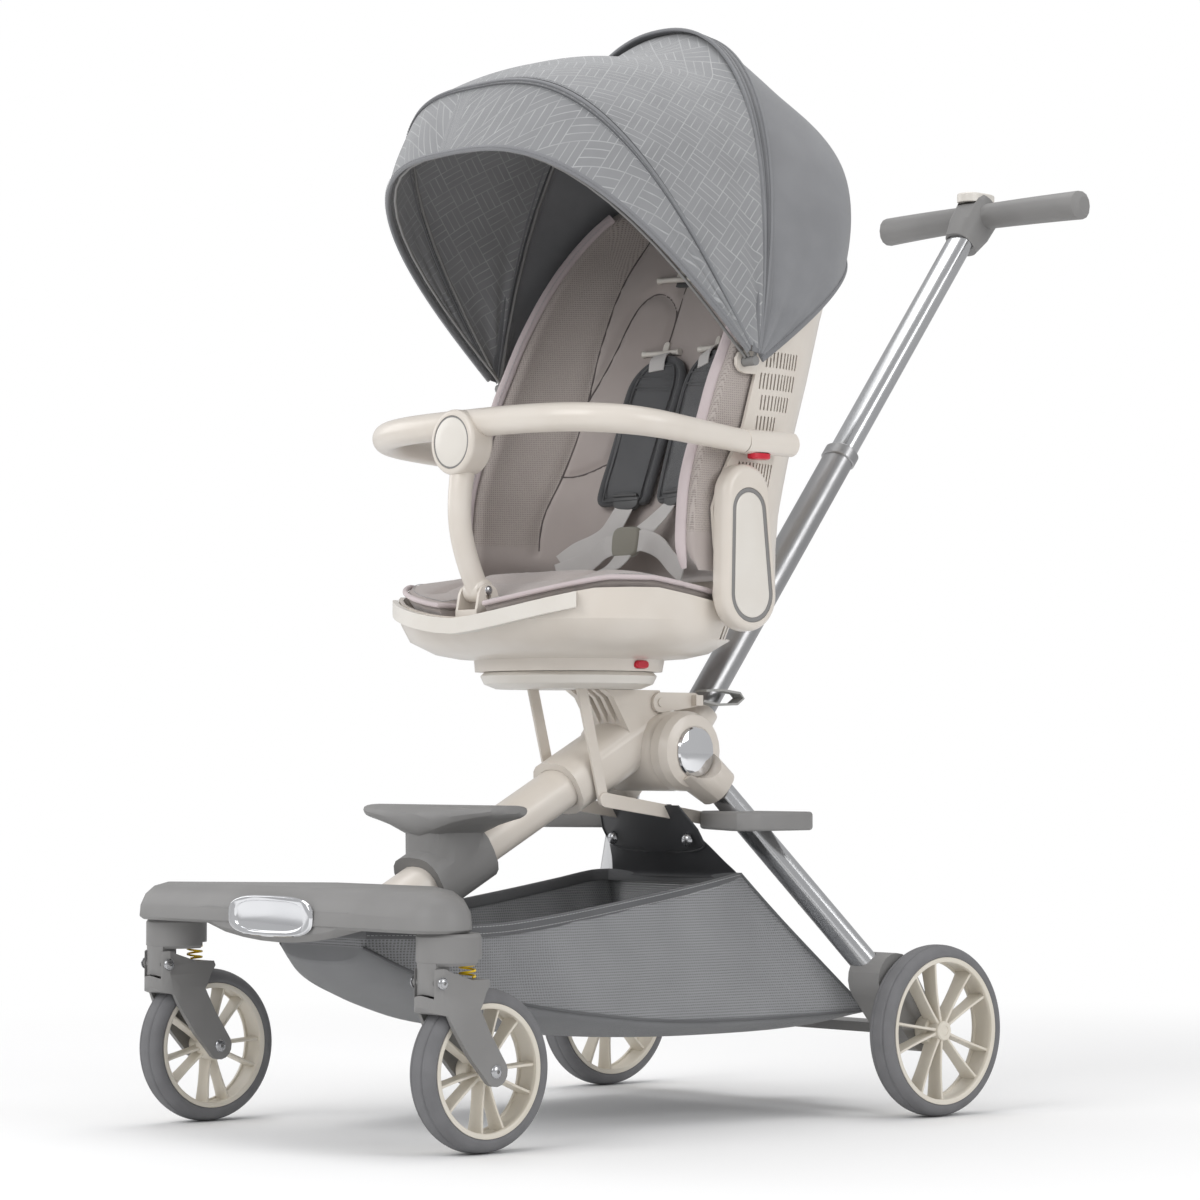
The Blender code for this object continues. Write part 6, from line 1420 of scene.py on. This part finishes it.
tubeSettings = {"legTop": (0.07, 0.166, 0.334), "legFoot": (0.21, 0.254, 0.144), "leg": (0.0155, 0.0115),
                "footY": 0.1855, "footZ": 0.393, "slope": 52.3, "outerLong": 0.392, "outer": (0.0185, 0.015),
                "collar": 0.0018, "innerFrom": 0.207, "innerTo": 0.74, "step": 0.0023}


def straightTube(name, start, end, size, more=0.0):
    # The size holds the half width and half depth, and more is added to both.
    start, end = Vector(start), Vector(end)
    way = (end - start).normalized()
    side = (Vector((1, 0, 0)) - way * way.x).normalized()
    long = (end - start).length
    stops = [(0.0, 0.0012), (0.0012, 0.0)] + [(long * i / 12, 0.0) for i in range(1, 12)]
    stops += [(long - 0.0012, 0.0), (long, 0.0012)]
    return layered(name, start, way, side, way.cross(side), size[0] + more, size[1] + more, stops, 2.3, 64)


def handleStretch(name, start, end, more=0.0):
    t = tubeSettings
    slope = radians(t["slope"])
    ends = [Vector((0, t["footY"] + d * cos(slope), t["footZ"] + d * sin(slope))) for d in (start, end)]
    return straightTube(name, *ends, t["outer"], more)


def makeTubes():
    t = tubeSettings

    def finish(obj, node, material=None):
        piece(obj, nodes[node]["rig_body"], "polished_aluminium", material, node, angle=40)

    for node in ("rear_leg_l", "rear_leg_r"):
        top, foot = ((sideOf(node) * x, y, z) for x, y, z in (t["legTop"], t["legFoot"]))
        finish(straightTube(camelName(node) + "Body", top, foot, t["leg"]), node)
    outer = handleStretch("outer", 0.0, t["outerLong"] - 0.001)
    collar = handleStretch("collar", t["outerLong"] - 0.014, t["outerLong"], t["collar"])
    finish(merged("handleOuterTubeBody", outer, collar), "handle_outer_tube", satinTube)
    finish(handleStretch("handleTubeBody", t["innerFrom"], t["innerTo"], -t["step"]), "handle_tube")


makeTubes()


# Stitches: geometry nodes lay short threads along a path

def stitchTree():
    tree = bpy.data.node_groups.new("stitchRow", "GeometryNodeTree")
    sockets = {}
    for name, kind in (("Path", "Geometry"), ("Pitch", "Float"), ("Length", "Float"), ("Radius", "Float"),
                       ("Thread", "Material")):
        socket = tree.interface.new_socket(name=name, in_out="INPUT", socket_type="NodeSocket" + kind)
        sockets[name] = socket.identifier
    tree.interface.new_socket(name="Stitches", in_out="OUTPUT", socket_type="NodeSocketGeometry")
    given = addNode(tree, "NodeGroupInput").outputs

    def step(kind, inputs, output=0, **settings):
        return addNode(tree, kind, inputs, **settings).outputs[output]

    curve = step("GeometryNodeMeshToCurve", {0: given["Path"]})
    even = step("GeometryNodeResampleCurve", {"Curve": curve, "Length": given["Pitch"]}, mode="LENGTH")
    stitch = step("GeometryNodeMeshCylinder", {"Vertices": 6, "Radius": given["Radius"],
                                               "Depth": given["Length"]}, "Mesh")
    tangent = step("GeometryNodeInputTangent", {})
    turn = step("FunctionNodeAlignRotationToVector", {"Vector": tangent}, axis="Z")
    placed = step("GeometryNodeInstanceOnPoints", {"Points": even, "Instance": stitch, "Rotation": turn})
    real = step("GeometryNodeRealizeInstances", {0: placed})
    painted = step("GeometryNodeSetMaterial", {0: real, "Material": given["Thread"]})
    addNode(tree, "NodeGroupOutput", {0: painted})
    return tree, sockets


stitchNodes, stitchSockets = stitchTree()


def stitched(name, paths, body, slotName, thread, pitch=0.0042, length=0.0027, radius=0.00038):
    verts, edges = [], []
    for path in paths:
        edges += [(len(verts) + i, len(verts) + i + 1) for i in range(len(path) - 1)]
        verts += path
    obj = meshObject(name, verts, [], edges)
    modifier = addModifier(obj, "NODES", node_group=stitchNodes)
    for key, value in (("Pitch", pitch), ("Length", length), ("Radius", radius), ("Thread", thread)):
        modifier[stitchSockets[key]] = value
    piece(planarUv(applied(obj)), body, slotName, None, angle=60)


def rimStitches(side, level):
    # A line along one side of the basket's hem, so far below its top.
    first, last = basketStations[0][0], basketStations[-1][0]
    points = [basketRow(first + (last - first) * k / 79)[side] for k in range(80)]
    return [p + Vector((math.copysign(0.0023, p.x), 0, 0.0012 - level)) for p in points]


def sewEverything():
    wings = [wingLine(side, 0.566, 0.95, 80, 0.0145, 0.0109) for side in (-1, 1)]
    stitched("wingStitches", wings, "backrest", "seat_cloth", paleThread)
    for name, hoop, body, lift, turns in (("canopyZipStitches", "mid", "canopy_mid", 0.0026, (-1.25, 1.25)),
                                          ("canopyHemStitches", "front", "canopy_front", 0.0022, (0.62,)),
                                          ("canopyRearStitches", "hem", "backrest", 0.0016, (-0.45, 0.45)),
                                          ("canopyTopStitches", "top", "canopy_top", 0.0006, (1.35, -1.35))):
        lines = [hoopLine(hoop, lift, turn) for turn in turns]
        stitched(name, lines, body, "canopy_cloth", greyTape, 0.0044, 0.0028, 0.0003)
    lines = [acrossPad(middle, z, 0.026, 8, 0.0018)
             for middle in padMiddles.values() for z in (0.7505, 0.757, 0.7625, 0.769)]
    stitched("padStitches", lines, "backrest", "strap_webbing", padBorder, 0.0032, 0.002, 0.0003)
    turns = [2 * pi * i / 240 for i in range(241)]
    line = seatRing(turns, 1.0, 0.0075, lambda x, y: seatTop(x, y) + 0.0002)
    stitched("seatStitches", [line], "seat", "seat_cloth", paleThread)
    lines = [rimStitches(side, level) for level in (0.0022, 0.0088) for side in (0, -1)]
    stitched("basketStitches", lines, netBody, "basket_net", paleThread, 0.004, 0.0025, 0.00035)


sewEverything()
print("tubes and stitches made")


# Each canopy sheet's longer hoop line is measured, and the length is not used

def pathLength(points):
    return sum((b - a).length for a, b in zip(points, points[1:]))


for obj, hoops in canopySheets:
    around = max(pathLength(hoopLine(hoops[0])), pathLength(hoopLine(hoops[-1])))


# Studio

studioSettings = {
    "lens": 111.74, "eye": (2.85429, -2.528 + backShift, 0.36646), "turn": 47.76, "tip": 2.42,
    "lamps": (("keyLamp", (0.2, -3.4, 2.6), 2.2, 62), ("sideLamp", (3.2, 0.6, 1.9), 1.8, 34),
              ("topLamp", (-0.6, 0.4, 3.6), 2.4, 42), ("leftLamp", (-3.0, -1.2, 1.6), 1.6, 16)),
}


def photoCamera():
    s = studioSettings
    camera = bpy.data.cameras.new("photoCamera")
    camera.lens = s["lens"]
    camera.sensor_width = 36
    camera.clip_end = 60
    turn, tip = radians(s["turn"]), radians(s["tip"])
    ahead = Vector((-sin(turn) * cos(tip), cos(turn) * cos(tip), sin(tip)))
    right = Vector((cos(turn), sin(turn), 0))
    place = Matrix((right, right.cross(ahead), -ahead)).transposed().to_4x4()
    place.translation = Vector(s["eye"])
    eye = linked("photoCamera", camera)
    eye.matrix_world = place
    bpy.context.scene.camera = eye


def studioWorld():
    world = bpy.data.worlds.new("studio")
    world.use_nodes = True
    tree = world.node_tree
    tree.nodes.clear()
    rays = addNode(tree, "ShaderNodeLightPath").outputs
    seen = maths(tree, "MAXIMUM", rays["Is Camera Ray"], rays["Is Transmission Ray"])
    soft = shade(tree, "Background", {"Color": "#F4F4F5", "Strength": 0.62})
    white = shade(tree, "Background", {"Color": "#FFFFFF", "Strength": 1.0})
    mix = shade(tree, "MixShader", {0: seen, 1: soft, 2: white})
    addNode(tree, "ShaderNodeOutputWorld", {"Surface": mix})
    bpy.context.scene.world = world


def studioFloor():
    # Plain paper round the object, which fades to white for the camera further out.
    reach = 14
    corners = [(x * reach, y * reach, 0) for x, y in ((-1, -1), (1, -1), (1, 1), (-1, 1))]
    floor = meshObject("studioFloor", corners, [(0, 1, 2, 3)])
    material, tree, shader = newMaterial("paperSweep", Base_Color="#F2F2F2", Roughness=0.9)
    where = shade(tree, "TexCoord", output="Object")
    far = shade(tree, "VectorMath", {0: where}, "Value", operation="LENGTH")
    camera = shade(tree, "LightPath", output="Is Camera Ray")
    glow = shade(tree, "Emission", {"Color": "#FFFFFF", "Strength": 1.0})
    overlaid(tree, maths(tree, "MULTIPLY", ranged(tree, far, 0.75, 1.9), camera), shader.outputs[0], glow)
    floor.data.materials.append(material)


photoCamera()
studioWorld()
for name, spot, size, power in studioSettings["lamps"]:
    light = bpy.data.lights.new(name, "AREA")
    light.size = size
    light.energy = power
    lamp = linked(name, light)
    lamp.location = spot
    lamp.rotation_euler = (Vector((0, 0, 0.5)) - Vector(spot)).to_track_quat("-Z", "Y").to_euler()
studioFloor()
bpy.context.scene.view_settings.view_transform = "Standard"
print("studio set")
